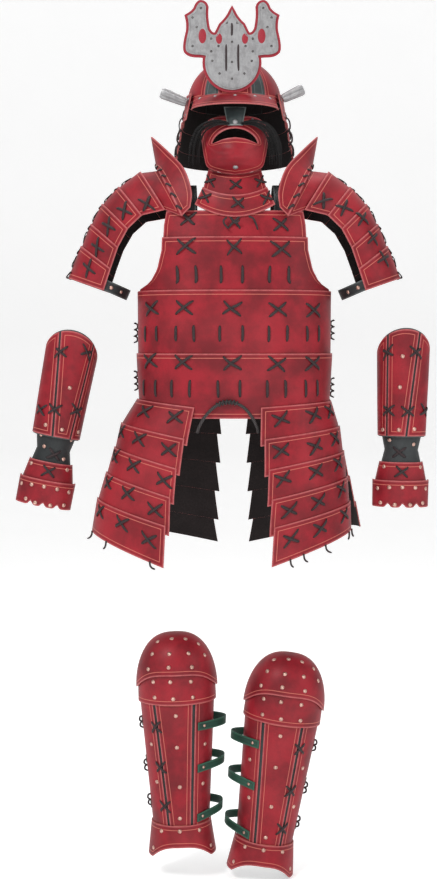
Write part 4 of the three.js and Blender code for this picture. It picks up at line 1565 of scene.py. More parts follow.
@dataclass
class FaceMask:
    """A half mask with an open mouth, a nose plate with a rivet, and a long moustache."""

    half_width: float = 74.0
    rear: float = -45.0
    chin: tuple[float, float, float, float] = (64.0, 6.0, 32.0, 20.0)
    depths: Sequence[tuple[float, float]] = (
        (158, 60),
        (132, 70),
        (117, 75),
        (100, 77),
        (72, 79),
        (55, 78),
        (42, 68),
        (26, 48),
    )
    # Lip and outer edge of one half, from the top middle to the bottom middle.
    loops: Sequence[tuple[float, float, float, float]] = (
        (0, 112, 0, 131),
        (15, 110, 26, 136),
        (29, 104, 51, 131),
        (40, 95, 65, 112),
        (45, 84, 64, 84),
        (34, 87, 60, 60),
        (22, 91, 53, 40),
        (10, 93, 28, 30),
        (0, 94, 0, 26),
    )
    nose_top: float = 155.0
    nose_foot: float = 117.0
    nose_half: tuple[float, float] = (22.0, 15.0)
    nose_thickness: float = 1.6
    nose_bridge: float = 7.0
    cheek_crease: float = 1.6
    beads: Sequence[tuple[float, float]] = ((-43, 130), (34, 131), (42, 128))
    drain: tuple[float, float] = (1.0, 38.0)
    hair_route: Sequence[tuple[float, float, float]] = (
        (12, -124, 120),
        (36, -122.4, 122),
        (62, -112, 112),
        (76, -101, 88),
        (80, -97, 56),
        (78, -97, 26),
    )
    hair_ahead: tuple[float, float, float] = (-0.35, -0.94, 0)
    hair_steps: int = 12
    locks: int = 13
    strands_a_lock: int = 10

    def _front(self, x: float, z: float) -> float:
        """Finds the depth of the mask's face.

        Args:
            x: the distance from the middle.
            z: the height.

        Returns:
            The depth (y) there.
        """
        bow = math.sqrt(1 - min(abs(x) / self.half_width, 0.98) ** 2)
        height, proud, wide, tall = self.chin
        chin = math.exp(-((x / wide) ** 2) - ((z - height) / tall) ** 2)
        return self.rear - read_row(self.depths, z, 1) * bow - proud * chin

    def surface(self, u: float, v: float, proud: float) -> Vector:
        """The outer face of the mask.

        Args:
            u: the share round the mouth.
            v: the share from the lip to the outer edge.
            proud: how far the point stands off the face.

        Returns:
            The point.
        """
        turn = (u % 1.0) * 2
        mirror = -1 if turn > 1 else 1
        share = turn if turn <= 1 else 2 - turn
        lip = smooth_curve([Vector((x, 0, z)) for x, z, _, _ in self.loops], share)
        rim = smooth_curve([Vector((x, 0, z)) for _, _, x, z in self.loops], share)
        point = lip.lerp(rim, v)
        x, z = mirror * max(point.x, 0.0), point.z
        lips = 1.8 * math.exp(-((v / 0.16) ** 2))
        crease = self.cheek_crease * math.exp(-(((v - 0.42) / 0.07) ** 2)) * math.sin(math.pi * share) ** 0.5
        stand = proud + lips - crease
        return Vector((x * (1 + proud / self.half_width), self._front(x, z) - stand, z))

    def nose_surface(self, u: float, v: float, proud: float) -> Vector:
        """The outer face of the nose plate.

        Args:
            u: the share across.
            v: the share down.
            proud: how far the point stands off the face.

        Returns:
            The point.
        """
        share = 2 * u - 1
        x = share * lerp(*self.nose_half, v)
        z = lerp(self.nose_top, self.nose_foot, v)
        bridge = self.nose_bridge * math.sin(math.pi * v) * (1 - share**2)
        return Vector((x, self._front(x, z) - 0.4 - self.nose_thickness - bridge - proud, z))

    def build(self) -> None:
        """Builds the mask, its nose plate, rivets and moustache."""
        face = Leatherwork("mask_face_leather")
        face.lay(self.surface, 96, 40, Edges.TOP | Edges.FOOT, cut=Edges.TOP | Edges.FOOT)
        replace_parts(face.finish("red_leather"), "mask_face")
        nose = Leatherwork("mask_nose_plate_leather", [SLATE_HIDE])
        nose.lay(self.nose_surface, 16, 14, Edges.NONE)
        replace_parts(nose.finish("dark_leather", self.nose_thickness, 0.4), "mask_nose_plate")
        rivets = Rivetwork("mask_rivets")
        rivets.set(self.nose_surface, spot_at(self.nose_surface, 0.5, 0.83), 4.2)
        for x, z in self.beads:
            rivets.set(self.surface, find_spot(self.surface, x, z, (0.13 if x > 0 else 0.87, 0.9)), 2.0)
        x, z = self.drain
        rivets.set(self.surface, find_spot(self.surface, x, z, (0.5, 0.8)), 4.6)
        rivets.finish(finish=SILVER)
        for side in Side:
            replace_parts(self._moustache(side), f"mask_moustache_{side.label}")

    def _hair_point(self, share: float, across: float, deep: float, wander: float) -> Vector:
        """Finds a point of one strand of the right side.

        Args:
            share: how far along the moustache it lies.
            across: the strand's place in the width of the moustache, from -1 to 1.
            deep: its place in the depth, from -1 to 1.
            wander: how far its lock strays, in millimetres.

        Returns:
            The point.
        """
        route, ahead = [Vector(point) for point in self.hair_route], Vector(self.hair_ahead)
        middle = smooth_curve(route, share)
        along = smooth_curve(route, min(share + 0.01, 1)) - smooth_curve(route, max(share - 0.01, 0))
        sideways = along.cross(ahead).normalized()
        spread = lerp(2.2, 15.0, share**0.8) * across + wander * share * math.sin(4 * share)
        return middle + sideways * spread + ahead * lerp(1.6, 6.0, share**0.8) * deep

    def _moustache(self, side: Side) -> bpy.types.Object:
        """Lays one side of the moustache, in locks of strands.

        Args:
            side: which side.

        Returns:
            The finished piece.
        """
        rng = random.Random(31 + side.value)
        strands = bmesh.new()
        uv = strands.loops.layers.uv.new("Cut")
        shares = [step / self.hair_steps for step in range(self.hair_steps + 1)]
        for lock in range(self.locks):
            across, deep = 2 * (lock + 0.5) / self.locks - 1, rng.uniform(-1, 1)
            wander, reach = rng.uniform(-4, 4), rng.uniform(0.7, 1.0)
            for _ in range(self.strands_a_lock):
                loose, forward = rng.gauss(0, 0.055), rng.gauss(0, 0.25)
                end = reach * rng.uniform(0.8, 1.0)
                place = (across + loose, deep + forward, wander)
                path = [self._hair_point(end * share, *place) for share in shares]
                points = [Vector((point.x * side.value, point.y, point.z)) * MM for point in path]
                thickness = rng.uniform(0.35, 0.6)
                radii = [thickness * (1 - 0.8 * share**2) for share in shares]
                sweep(strands, uv, points, radii, 3)
        return emit(f"mask_moustache_{side.label}_hair", strands, [HAIR])


def stacked(surface: Surface, count: int, lame: int, lap: float, lifted_first: bool = False) -> Surface:
    """Gives one lame of a hanging stack, whose top edge lies over the foot of the lame above it.

    Args:
        surface: the face of the whole stack, with v from its top to its hem.
        count: how many lames the stack has.
        lame: the number of this one, from 0 at the top.
        lap: how far its foot runs on under the next lame, as a share of a lame's height.
        lifted_first: whether the first lame also lies over something.

    Returns:
        The lame's own face, with v from its top edge to its foot.
    """
    foot = 1.0 if lame == count - 1 else 1.0 + lap
    lift = STACK_STEP if lame or lifted_first else 0.0

    def place(u: float, v: float, proud: float) -> Vector:
        """The point on the lame.

        Args:
            u: the share across.
            v: the share down.
            proud: how far the point stands off the face.

        Returns:
            The point.
        """
        below = foot * v
        stand = lift * max(0.0, 1 - below) - STACK_STEP * max(0.0, below - 1)
        return surface(u, (lame + below) / count, proud + stand)

    return place


def inner_face(surface: Callable[[float, float], Vector]) -> Surface:
    """Gives the inner face of a sheet of leather.

    Args:
        surface: the sheet's outer side, without thickness.

    Returns:
        Its inner face, which stands proud inwards.
    """

    def place(u: float, v: float, proud: float) -> Vector:
        """The point on the inner face.

        Args:
            u: the share across.
            v: the share down.
            proud: how far the point stands off the face.

        Returns:
            The point.
        """
        nudge = NUDGE / 2
        across = surface(min(u + nudge, 1), v) - surface(max(u - nudge, 0), v)
        down = surface(u, min(v + nudge, 1)) - surface(u, max(v - nudge, 0))
        return surface(u, v) - across.cross(down).normalized() * (LEATHER + proud)

    return place


@dataclass
class Helmet:
    """A bowl of gores, a visor, a neck guard, turned-back flaps and rolled scrolls."""

    half_width: float = 94.0
    front: float = 116.0
    back: float = 120.0
    rim: float = 172.0
    height: float = 92.0
    # Gores from the middle of the front towards one side, in degrees, and whether each is dark.
    gores: Sequence[tuple[float, bool]] = (
        (19, False),
        (21, True),
        (40, False),
        (21, True),
        (40, False),
        (21, True),
    )
    gore_lift: float = 1.3
    gore_lap: float = 1.2
    gore_top: float = 0.05
    cap_foot: float = 0.13
    visor_end: float = 56.0
    visor_top: float = 180.0
    visor_drop: float = 26.0
    visor_reach: float = 46.0
    visor_end_reach: float = 10.0
    guard_start: float = 76.0
    guard_top: float = 175.0
    guard_foot: float = 60.0
    guard_lames: int = 3
    guard_flare: float = 23.0
    guard_back_flare: float = 38.0
    guard_stand: float = LEATHER + 0.6
    guard_crosses: int = 9
    guard_rivets: tuple[float, float] = (0.025, 0.975)
    guard_rivet: float = 3.0
    visor_rivets: Sequence[float] = (0.12, 0.31, 0.5, 0.69, 0.88)
    visor_rivet: float = 2.8
    # Where the loose thongs beside the neck guard start, and the points of each from its start.
    tail_starts: Sequence[tuple[float, float, float]] = ((101, -38, 146), (105, -40, 120), (107, -42, 96))
    tail_route: Sequence[tuple[float, float, float]] = ((0, 0, 0), (7, -4, -8), (9, -5, -22), (3, -3, -32))
    flap_heights: tuple[float, float] = (188.0, 136.0)
    flap_front: tuple[float, float] = (86.0, 97.0)
    flap_rear: tuple[float, float] = (96.0, 104.0)
    flap_front_y: float = -66.0
    flap_rear_y: tuple[float, float] = (-29.6, -33.0)
    flap_rivets: tuple[float, float] = (0.2, 0.8)
    flap_rivet: float = 2.6
    # The root and the tip of each scroll.
    scrolls: dict[Side, tuple[Vector, Vector]] = field(
        default_factory=lambda: {
            Side.LEFT: (Vector((-94.7, -58, 170)), Vector((-145, -58, 190))),
            Side.RIGHT: (Vector((94.1, -58, 178)), Vector((135, -58, 197))),
        }
    )
    scroll_radii: tuple[float, float] = (9.0, 12.0)
    scroll_flutes: int = 5
    flute_depth: float = 0.26
    flute_sides: int = 12
    # How much a scroll narrows at its ends, and the square of the share of its half-length that stays full.
    scroll_taper: float = 0.16
    scroll_full: float = 0.72

    def bowl_surface(self, start: float, end: float) -> Surface:
        """Gives the face of the bowl between two angles.

        Args:
            start: the first angle from the middle of the front, in degrees.
            end: the last one.

        Returns:
            The face.
        """

        def place(u: float, v: float, proud: float) -> Vector:
            """The point on the bowl.

            Args:
                u: the share across.
                v: the share down.
                proud: how far the point stands off the face.

            Returns:
                The point.
            """
            angle = math.radians(lerp(start, end, u))
            fall = math.pi / 2 * v
            depth = self.front if math.cos(angle) > 0 else self.back
            x = (self.half_width + proud) * math.sin(angle) * math.sin(fall)
            y = -(depth + proud) * math.cos(angle) * math.sin(fall)
            return Vector((x, y, self.rim + (self.height + proud) * math.cos(fall)))

        return place

    def visor_surface(self, u: float, v: float, proud: float) -> Vector:
        """The upper face of the visor, from the bowl outwards.

        Args:
            u: the share across.
            v: the share down.
            proud: how far the point stands off the face.

        Returns:
            The point.
        """
        turn = 2 * u - 1
        angle = math.radians(self.visor_end) * turn
        reach = v * lerp(self.visor_reach, self.visor_end_reach, turn**2) + 0.2
        x = (self.half_width + reach) * math.sin(angle)
        y = -(self.front + reach) * math.cos(angle)
        return Vector((x, y, self.visor_top - self.visor_drop * v**1.15 + proud))

    def guard_surface(self, u: float, v: float, proud: float) -> Vector:
        """The face of the neck guard.

        Args:
            u: the share across.
            v: the share down.
            proud: how far the point stands off the face.

        Returns:
            The point.
        """
        angle = math.radians(lerp(self.guard_start, 360 - self.guard_start, u))
        stand = self.guard_stand + proud
        depth = self.front if math.cos(angle) > 0 else self.back
        x = (self.half_width + stand + self.guard_flare * v) * math.sin(angle)
        y = -(depth + stand + self.guard_back_flare * v) * math.cos(angle)
        return Vector((x, y, lerp(self.guard_top, self.guard_foot, v)))

    def flap_surface(self, u: float, v: float, proud: float) -> Vector:
        """The outer face of the right flap.

        Args:
            u: the share across.
            v: the share down.
            proud: how far the point stands off the face.

        Returns:
            The point.
        """
        x = lerp(lerp(*self.flap_front, v), lerp(*self.flap_rear, v), u)
        y = lerp(self.flap_front_y, lerp(*self.flap_rear_y, v), u)
        return Vector((x + proud, y, lerp(*self.flap_heights, v)))

    def build(self) -> None:
        """Builds the whole helmet."""
        self._bowl()
        visor = Leatherwork("helmet_visor_leather")
        visor.lay(self.visor_surface, 48, 10, Edges.FOOT | Edges.TOP)
        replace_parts(visor.finish("red_leather"), "helmet_visor")
        self._neck_guard()
        rivets = Rivetwork("helmet_rivets")
        for side in Side:
            surface = mirrored(side, self.flap_surface)
            flap = Leatherwork(f"helmet_flap_{side.label}_leather")
            flap.lay(surface, 8, 10, Edges.ALL)
            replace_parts(flap.finish("red_leather"), f"helmet_flap_{side.label}")
            for v in self.flap_rivets:
                rivets.set(surface, spot_at(surface, 0.3, v), self.flap_rivet)
            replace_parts(self._scroll(side), f"helmet_scroll_{side.label}")
        for u in self.visor_rivets:
            rivets.set(self.visor_surface, spot_at(self.visor_surface, u, 0.3), self.visor_rivet)
        for k in range(self.guard_lames):
            for u in self.guard_rivets:
                spot = spot_at(self.guard_surface, u, (k + 0.65) / self.guard_lames)
                rivets.set(self.guard_surface, spot, self.guard_rivet)
        rivets.finish(finish=SILVER)

    def _gore(self, start: float, end: float, lift: float) -> Surface:
        """The face of one gore, which stops short of the crown."""
        face = self.bowl_surface(start, end)
        return lambda u, v, proud: face(u, lerp(self.gore_top, 1, v), proud + lift)

    def _cap(self, u: float, v: float, proud: float) -> Vector:
        """The face of the round cap over the points of the gores."""
        return self.bowl_surface(0, 360)(u, self.cap_foot * v, proud + self.gore_lift + LEATHER)

    def _bowl(self) -> None:
        """Lays the gores, red over dark, and the cap that holds their points."""
        bowl = Leatherwork("helmet_bowl_leather", [RED_HIDE, SLATE_HIDE])
        angle = self.gores[0][0]
        spans = [(-angle, angle, False)]
        for width, dark in self.gores[1:]:
            spans.append((angle, angle + width, dark))
            spans.append((-angle - width, -angle, dark))
            angle += width
        spans.append((angle, 360 - angle, False))
        for start, end, dark in spans:
            overlap = 0.0 if dark else self.gore_lap
            gore = self._gore(start - overlap, end + overlap, 0.0 if dark else self.gore_lift)
            bowl.lay(gore, max(4, round((end - start) / 5)), 18, Edges.ENDS | Edges.FOOT, int(dark))
        bowl.lay(self._cap, 36, 4, Edges.FOOT, cut=Edges.FOOT)
        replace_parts(bowl.finish("red_leather"), "helmet_bowl")

    def _neck_guard(self) -> None:
        """Lays the three lames of the neck guard and laces them."""
        guard = Leatherwork("helmet_neck_guard_leather")
        laces = Lacework("helmet_neck_guard_laces", seed=41)
        for k in range(self.guard_lames):
            surface = rippled(stacked(self.guard_surface, self.guard_lames, k, 0.3), 0.35, seed=40.0 + k)
            guard.lay(surface, 60, 10, Edges.ALL)
            for i in range(self.guard_crosses):
                spot = spot_at(surface, 0.06 + 0.11 * i, 0.42)
                laces.cross(surface, spot, 26.0, 20.0, thong=laces.NARROW)
        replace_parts(guard.finish("red_leather"), "helmet_neck_guard")
        for side in Side:
            for x, y, z in self.tail_starts:
                points = [Vector((side.value * (x + a), y + b, z + c)) for a, b, c in self.tail_route]
                laces.tail(points, face=Vector((side.value, -1, 0)))
        laces.finish()

    def _scroll(self, side: Side) -> bpy.types.Object:
        """Makes a rolled, fluted scroll of silvered leather that narrows at its ends.

        Args:
            side: which side.

        Returns:
            The finished piece.
        """
        root, tip = self.scrolls[side]
        along = tip - root
        mesh = bmesh.new()
        inner, outer = self.scroll_radii
        bmesh.ops.create_cone(
            mesh,
            cap_ends=True,
            segments=self.scroll_flutes * self.flute_sides,
            radius1=inner * MM,
            radius2=outer * MM,
            depth=along.length * MM,
        )
        lengthwise = [edge for edge in mesh.edges if abs(edge.verts[0].co.z - edge.verts[1].co.z) > 1e-6]
        bmesh.ops.subdivide_edges(mesh, edges=lengthwise, cuts=8)
        half = along.length / 2 * MM
        for vert in mesh.verts:
            turn = math.atan2(vert.co.y, vert.co.x)
            flute = 1 + self.flute_depth * (abs(math.cos(self.scroll_flutes * turn / 2)) ** 0.6 - 1)
            end = (vert.co.z / half) ** 2
            swell = 1 - self.scroll_taper * max(0.0, end - self.scroll_full) / (1 - self.scroll_full)
            vert.co.x *= flute * swell
            vert.co.y *= flute * swell
        way = along.normalized().to_track_quat("Z", "Y").to_matrix().to_4x4()
        middle = Matrix.Translation((root + tip) / 2 * MM)
        bmesh.ops.transform(mesh, matrix=middle @ way, verts=mesh.verts)
        piece = emit(f"helmet_scroll_{side.label}_silver", mesh, [SILVER])
        bevelled(piece, 0.8)
        return piece


@dataclass
class Crest:
    """A broad pair of horns and a leaf over a round plate, cut from plate on a leather backing."""

    centre_x: float = -6.0
    centre_z: float = 237.0
    radius: float = 52.0
    back: float = -116.0
    plate: float = 2.0
    backing: float = 2.5
    margin: float = 5.0
    seat: float = 0.4
    bead: float = 0.9
    bead_inset: float = 3.2
    root_z: float = 250.0
    top: float = 360.0
    width: float = 200.0
    start: tuple[float, float] = (0.0, 338.0)
    curve_steps: int = 6
    arc_steps: int = 28
    stud: float = 2.0
    inlay_rise: float = 1.0
    slot_width: float = 3.4
    slot_rise: float = 0.4
    # Each curve of the right half: its control point and its end.
    curves: Sequence[tuple[float, float, float, float]] = (
        (5, 322, 21, 308),
        (26, 298, 30, 290),
        (40, 286, 47, 300),
        (52, 322, 50, 342),
        (52, 350, 60, 351),
        (66, 350, 70, 338),
        (76, 330, 86, 325),
        (82, 312, 84, 296),
        (92, 266, 88, 259),
        (82, 252, 68, 252),
        (58, 252, 50, 250),
    )
    studs: Sequence[tuple[float, float]] = (
        (60, 340),
        (76, 322),
        (68, 304),
        (76, 268),
        (10, 312),
        (40, 282),
        (26, 268),
        (40, 258),
        (38, 240),
        (24, 216),
        (0, 206),
        (0, 238),
        (0, 276),
    )
    slots: Sequence[tuple[float, float, float]] = ((0, 312, 288), (-12, 272, 220), (12, 272, 220))
    # Place, half-width and half-height of the red inlays of the right half.
    inlays: Sequence[tuple[float, float, float, float]] = ((57, 287, 7.5, 14), (25, 282, 6, 10))

    def outline(self) -> list[Vector]:
        """Draws the plate's outline in the front elevation.

        Returns:
            Its points, clockwise from the leaf's point.
        """
        right = []
        here = Vector(self.start)
        for cx, cz, x, z in self.curves:
            control, end = Vector((cx, cz)), Vector((x, z))
            for step in range(1, self.curve_steps + 1):
                t = step / self.curve_steps
                right.append(here * (1 - t) ** 2 + control * 2 * t * (1 - t) + end * t**2)
            here = end
        shoulder = math.asin((self.root_z - self.centre_z) / self.radius)
        arc = []
        for i in range(1, self.arc_steps):
            turn = lerp(shoulder, -math.pi - shoulder, i / self.arc_steps)
            x, z = self.radius * math.cos(turn), self.centre_z + self.radius * math.sin(turn)
            arc.append(Vector((x, z)))
        left = [Vector((-point.x, point.y)) for point in reversed(right)]
        return [Vector(self.start), *right, *arc, *left]

    def grown_outline(self, grown: float) -> list[Vector]:
        """Moves the outline outwards.

        Args:
            grown: how far, in millimetres.

        Returns:
            Its points in the front elevation.
        """
        points = self.outline()
        moved = []
        for i, point in enumerate(points):
            before = (point - points[i - 1]).normalized()
            after = (points[(i + 1) % len(points)] - point).normalized()
            normal = Vector((-before.y - after.y, before.x + after.x)).normalized()
            mitre = min(1 / max(normal.dot(Vector((-after.y, after.x))), 0.1), 1.6)
            moved.append(point + normal * grown * mitre)
        return moved

    def _slab(self, grown: float, thickness: float, back: float) -> bmesh.types.BMesh:
        """Makes a slab of the outline.

        Args:
            grown: how far the outline is moved outwards, in millimetres.
            thickness: the slab's thickness.
            back: the depth of its rear face.

        Returns:
            The slab's mesh, in metres.
        """
        mesh = bmesh.new()
        points = self.grown_outline(grown)
        made = bmesh.ops.create_circle(mesh, cap_ends=False, segments=len(points), radius=1.0)
        for vert, point in zip(made["verts"], points):
            vert.co = Vector((point.x + self.centre_x, back, point.y)) * MM
        bmesh.ops.triangle_fill(mesh, use_beauty=True, edges=mesh.edges[:], normal=(0, -1, 0))
        made = bmesh.ops.extrude_face_region(mesh, geom=mesh.faces[:])["geom"]
        front = [item for item in made if isinstance(item, bmesh.types.BMVert)]
        bmesh.ops.translate(mesh, vec=(0, -thickness * MM, 0), verts=front)
        bmesh.ops.recalc_face_normals(mesh, faces=mesh.faces[:])
        return mesh

    def _bead(self, face_y: float) -> None:
        """Lays a thin raised bead round the plate, just inside its edge.

        Args:
            face_y: the depth of the plate's face.
        """
        points = self.grown_outline(-self.bead_inset)
        path = [Vector((p.x + self.centre_x, face_y, p.y)) * MM for p in [*points, points[0]]]
        mesh = bmesh.new()
        sweep(mesh, mesh.loops.layers.uv.new("Cut"), path, [self.bead] * len(path), 6)
        emit("crest_bead", mesh, [SILVER])

    def build(self) -> None:
        """Builds the backing and the plate, with its bead, studs, inlays and slots."""
        slab = self._slab(self.margin, self.backing, self.back)
        backing = emit("crest_leather", slab, [BACKING], smooth=False)
        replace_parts(backing, "helmet_crest_backing")
        rear = self.back - self.backing - self.seat
        slab = self._slab(0.0, self.plate, rear)
        plate = emit("crest_plate", slab, [SILVER], smooth=False)
        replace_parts(plate, "helmet_crest_plate")
        face_y = rear - self.plate
        self._bead(face_y)

        def level(u: float, v: float, proud: float) -> Vector:
            """The plate's flat face."""
            x = self.centre_x + self.width * (u - 0.5)
            return Vector((x, face_y - proud, self.top - self.width * v))

        rivets = Rivetwork("crest_studs")
        for x, z in self.studs:
            for sign in (-1, 1) if x else (1,):
                rivets.set(level, self._spot(sign * x, z), self.stud)
        rivets.finish(finish=GUNMETAL)
        self._inlay(face_y)
        slots = Lacework("crest_slots", seed=51)
        for x, top, foot in self.slots:
            half = (top - foot) / 2
            spot = self._spot(x, (top + foot) / 2)
            slots.stitch(level, spot, (0, -half), (0, half), self.slot_rise, self.slot_width)
        slots.finish("silver_leather")

    def _inlay(self, face_y: float) -> None:
        """Sets domed oval inlays of red leather in the plate.

        Args:
            face_y: the depth of the plate's face.
        """
        mesh = bmesh.new()
        for x, z, half, tall in self.inlays:
            for sign in (-1, 1):
                middle = Vector((self.centre_x + sign * x, face_y, z)) * MM
                size = Matrix.Diagonal((half * MM, self.inlay_rise * MM, tall * MM, 1.0))
                place = Matrix.Translation(middle) @ size
                bmesh.ops.create_uvsphere(mesh, u_segments=20, v_segments=12, radius=1.0, matrix=place)
        emit("crest_inlays", mesh, [BACKING])

    def _spot(self, x: float, z: float) -> Spot:
        """The spot on the plate's face at a distance from its middle and a height."""
        return Spot(0.5 + x / self.width, (self.top - z) / self.width, 1 / self.width, 1 / self.width)


# One edge across the arm in each row: the point below its crown (x, z), the crown (x, z), half depth.
ARM = (
    (0, 104.0, -54.0, 152.0, 43.0, 120.6),
    (1, 138.0, -40.0, 188.0, 40.0, 97.3),
    (2, 184.0, -50.0, 232.0, 10.0, 84.0),
    (3, 212.0, -76.0, 265.0, -24.0, 79.0),
    (4, 232.0, -112.0, 288.0, -64.0, 75.0),
    (5, 247.0, -154.0, 308.0, -108.0, 72.0),
    (6, 262.0, -198.0, 336.0, -172.0, 70.0),
)
MID_X, MID_Z, CROWN_X, CROWN_Z, HALF_DEPTH = 1, 2, 3, 4, 5
ARM_WRAP = math.radians(92)


def arm_point(u: float, s: float, proud: float) -> Vector:
    """A point of the half tube over the shoulder and the upper arm.

    Args:
        u: round the arm, from its front edge over the crown to its rear edge.
        s: the number of the edge across the arm; between two edges the leather runs straight.
        proud: how far the point stands off the face.

    Returns:
        The point, on the right arm.
    """
    angle = ARM_WRAP * (2 * u - 1)
    last = len(ARM) - 1
    first = min(int(s), last - 1)
    ends = []
    for _, mid_x, mid_z, crown_x, crown_z, depth in ARM[first : first + 2]:
        mid = Vector((mid_x, 0, mid_z))
        rise = Vector((crown_x, 0, crown_z)) - mid
        point = mid + rise.normalized() * (rise.length + proud) * math.cos(angle)
        point.y = (depth + proud) * math.sin(angle)
        ends.append(point)
    return ends[0].lerp(ends[1], min(s, last) - first)


@dataclass
class Shoulders:
    """Yokes, collar wings, laced shoulder guards and the straps that hold them to the arms."""

    yoke_foot: float = 1.35
    yoke_drop: float = 1.6
    lames: int = 5
    lap: float = 0.25
    wing_edge: Sequence[tuple[float, float, float]] = (
        (86, -124, -40),
        (84, -116, -8),
        (98, -96, 36),
        (127, -58, 72),
        (166, 0, 112),
    )
    wing_rear: float = 0.94
    wing_foot: float = 0.03
    wing_stand: float = LEATHER + 0.4
    strap_s: float = 5.75
    strap_width: float = 22.0
    strap_inset: float = LEATHER + 1.2
    strap_body_share: float = 0.62
    strap_rivets: Sequence[float] = (0.62, 0.70, 0.78, 0.86)
    strap_rivet: float = 3.4
    wing_stitches: int = 13
    cross_size: tuple[float, float] = (32.0, 25.0)
    scallops: Sequence[float] = (0.40, 0.47, 0.54)
    crosses: dict[Side, Sequence[tuple[float, float]]] = field(
        default_factory=lambda: {
            Side.LEFT: ((-173, -31), (-218, -42), (-250, -72), (-272, -113), (-290, -154)),
            Side.RIGHT: ((174, -25), (216, -37), (253, -56), (275, -95), (297, -135)),
        }
    )

    def yoke_surface(self, u: float, v: float, proud: float) -> Vector:
        """The face of the right yoke."""
        return arm_point(u, self.yoke_foot * v, proud - self.yoke_drop * v)

    def guard_surface(self, u: float, v: float, proud: float) -> Vector:
        """The face of the whole right shoulder guard."""
        return arm_point(u, lerp(1, 1 + self.lames, v), proud)

    def wing_sheet(self, u: float, v: float) -> Vector:
        """The outer side of the right collar wing, without thickness.

        Args:
            u: the share along it, from front to rear.
            v: the share from its free edge to its foot on the yoke.

        Returns:
            The point.
        """
        front = [Vector(point) for point in self.wing_edge]
        rear = [Vector((p.x, -p.y * self.wing_rear, p.z)) for p in reversed(front[:-1])]
        foot = arm_point(u, self.wing_foot, self.wing_stand)
        return smooth_curve(front + rear, u).lerp(foot, v)

    def strap_surface(self, u: float, v: float, proud: float) -> Vector:
        """The face of the right arm strap, a closed hoop just inside the last lame.

        Args:
            u: the share across.
            v: the share down.
            proud: how far the point stands off the face.

        Returns:
            The point.
        """
        angle = 2 * math.pi * u
        row = [read_row(ARM, self.strap_s, column) for column in range(HALF_DEPTH + 1)]
        mid = Vector((row[MID_X], 0, row[MID_Z]))
        crown = Vector((row[CROWN_X], 0, row[CROWN_Z])) - mid
        axis = crown.normalized()
        near = crown.length - self.strap_inset
        outward = near if math.cos(angle) > 0 else crown.length * self.strap_body_share
        point = mid + axis * (outward + proud) * math.cos(angle)
        point.y = (row[HALF_DEPTH] - self.strap_inset + proud) * math.sin(angle)
        return point + Vector((axis.z, 0, -axis.x)) * self.strap_width * (v - 0.5)

    def build(self) -> None:
        """Builds both shoulders."""
        for side in Side:
            label = side.label
            yoke = Leatherwork(f"shoulder_yoke_{label}_leather")
            yoke_face = rippled(mirrored(side, self.yoke_surface), 0.3, seed=60.0)
            yoke.lay(yoke_face, 48, 12, Edges.ALL)
            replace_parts(yoke.finish("red_leather"), f"shoulder_yoke_{label}")
            self._wing(side)
            self._guard(side)
            strap_face = mirrored(side, self.strap_surface)
            strap = Leatherwork(f"arm_strap_{label}_leather", [STRAP_HIDE])
            strap.lay(strap_face, 60, 4, Edges.NONE, cut=Edges.TOP | Edges.FOOT)
            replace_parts(strap.finish("dark_leather", 2.0), f"arm_strap_{label}")
            rivets = Rivetwork(f"arm_strap_{label}_rivets")
            for u in self.strap_rivets:
                rivets.set(strap_face, spot_at(strap_face, u, 0.5), self.strap_rivet)
            rivets.finish()

    def _wing(self, side: Side) -> None:
        """Builds a collar wing and the lacing along its foot.

        Args:
            side: which side.
        """
        face = mirrored(side, inner_face(self.wing_sheet))
        wing = Leatherwork(f"collar_wing_{side.label}_leather", [WING_HIDE])
        wing.lay(face, 60, 14, Edges.ALL)
        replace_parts(wing.finish("red_leather"), f"collar_wing_{side.label}")
        laces = Lacework(f"collar_wing_{side.label}_laces", seed=61 + side.value)
        for i in range(self.wing_stitches):
            spot = spot_at(face, 0.05 + 0.075 * i, 0.90)
            laces.stitch(face, spot, (-6.5, -4), (6.5, 4), 1.6, 4.2)
        laces.finish()

    def _guard(self, side: Side) -> None:
        """Builds the lames of one shoulder guard, their laces and the loops along their edges.

        Args:
            side: which side.
        """
        label = side.label
        guard = Leatherwork(f"shoulder_guard_{label}_leather")
        laces = Lacework(f"shoulder_guard_{label}_laces", seed=66 + side.value)
        whole = mirrored(side, self.guard_surface)
        for k in range(self.lames):
            lame = stacked(whole, self.lames, k, self.lap, lifted_first=True)
            surface = rippled(lame, 0.35, seed=70.0 + 3 * k + side.value)
            guard.lay(surface, 48, 12, Edges.ALL)
            x, z = self.crosses[side][k]
            front = find_spot(surface, x, z, (0.2, 0.5))
            laces.cross(surface, front, *self.cross_size, turn=side.value * (12 + 8 * k))
            for u in (0.5, 1 - front.u):
                laces.cross(surface, spot_at(surface, u, 0.5), *self.cross_size)
            self._edge_loops(laces, surface, side)
        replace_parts(guard.finish("red_leather"), f"shoulder_guard_{label}")
        laces.finish()

    def _edge_loops(self, laces: Lacework, surface: Surface, side: Side) -> None:
        """Adds the thong that scallops over the foot of a lame at its crown.

        Args:
            laces: the piece that the thong joins.
            surface: the lame's face.
            side: which side.
        """
        for u in self.scallops:
            spot = spot_at(surface, u, 0.9)
            start = surface(u, 0.80, 0.8)
            over = surface(u + 8 * spot.du, 0.97, 4.5)
            under = surface(u + 15 * spot.du, 1.0, 1.0)
            laces.tail([start, over, under], face=Vector((side.value, 0, 1)).normalized())


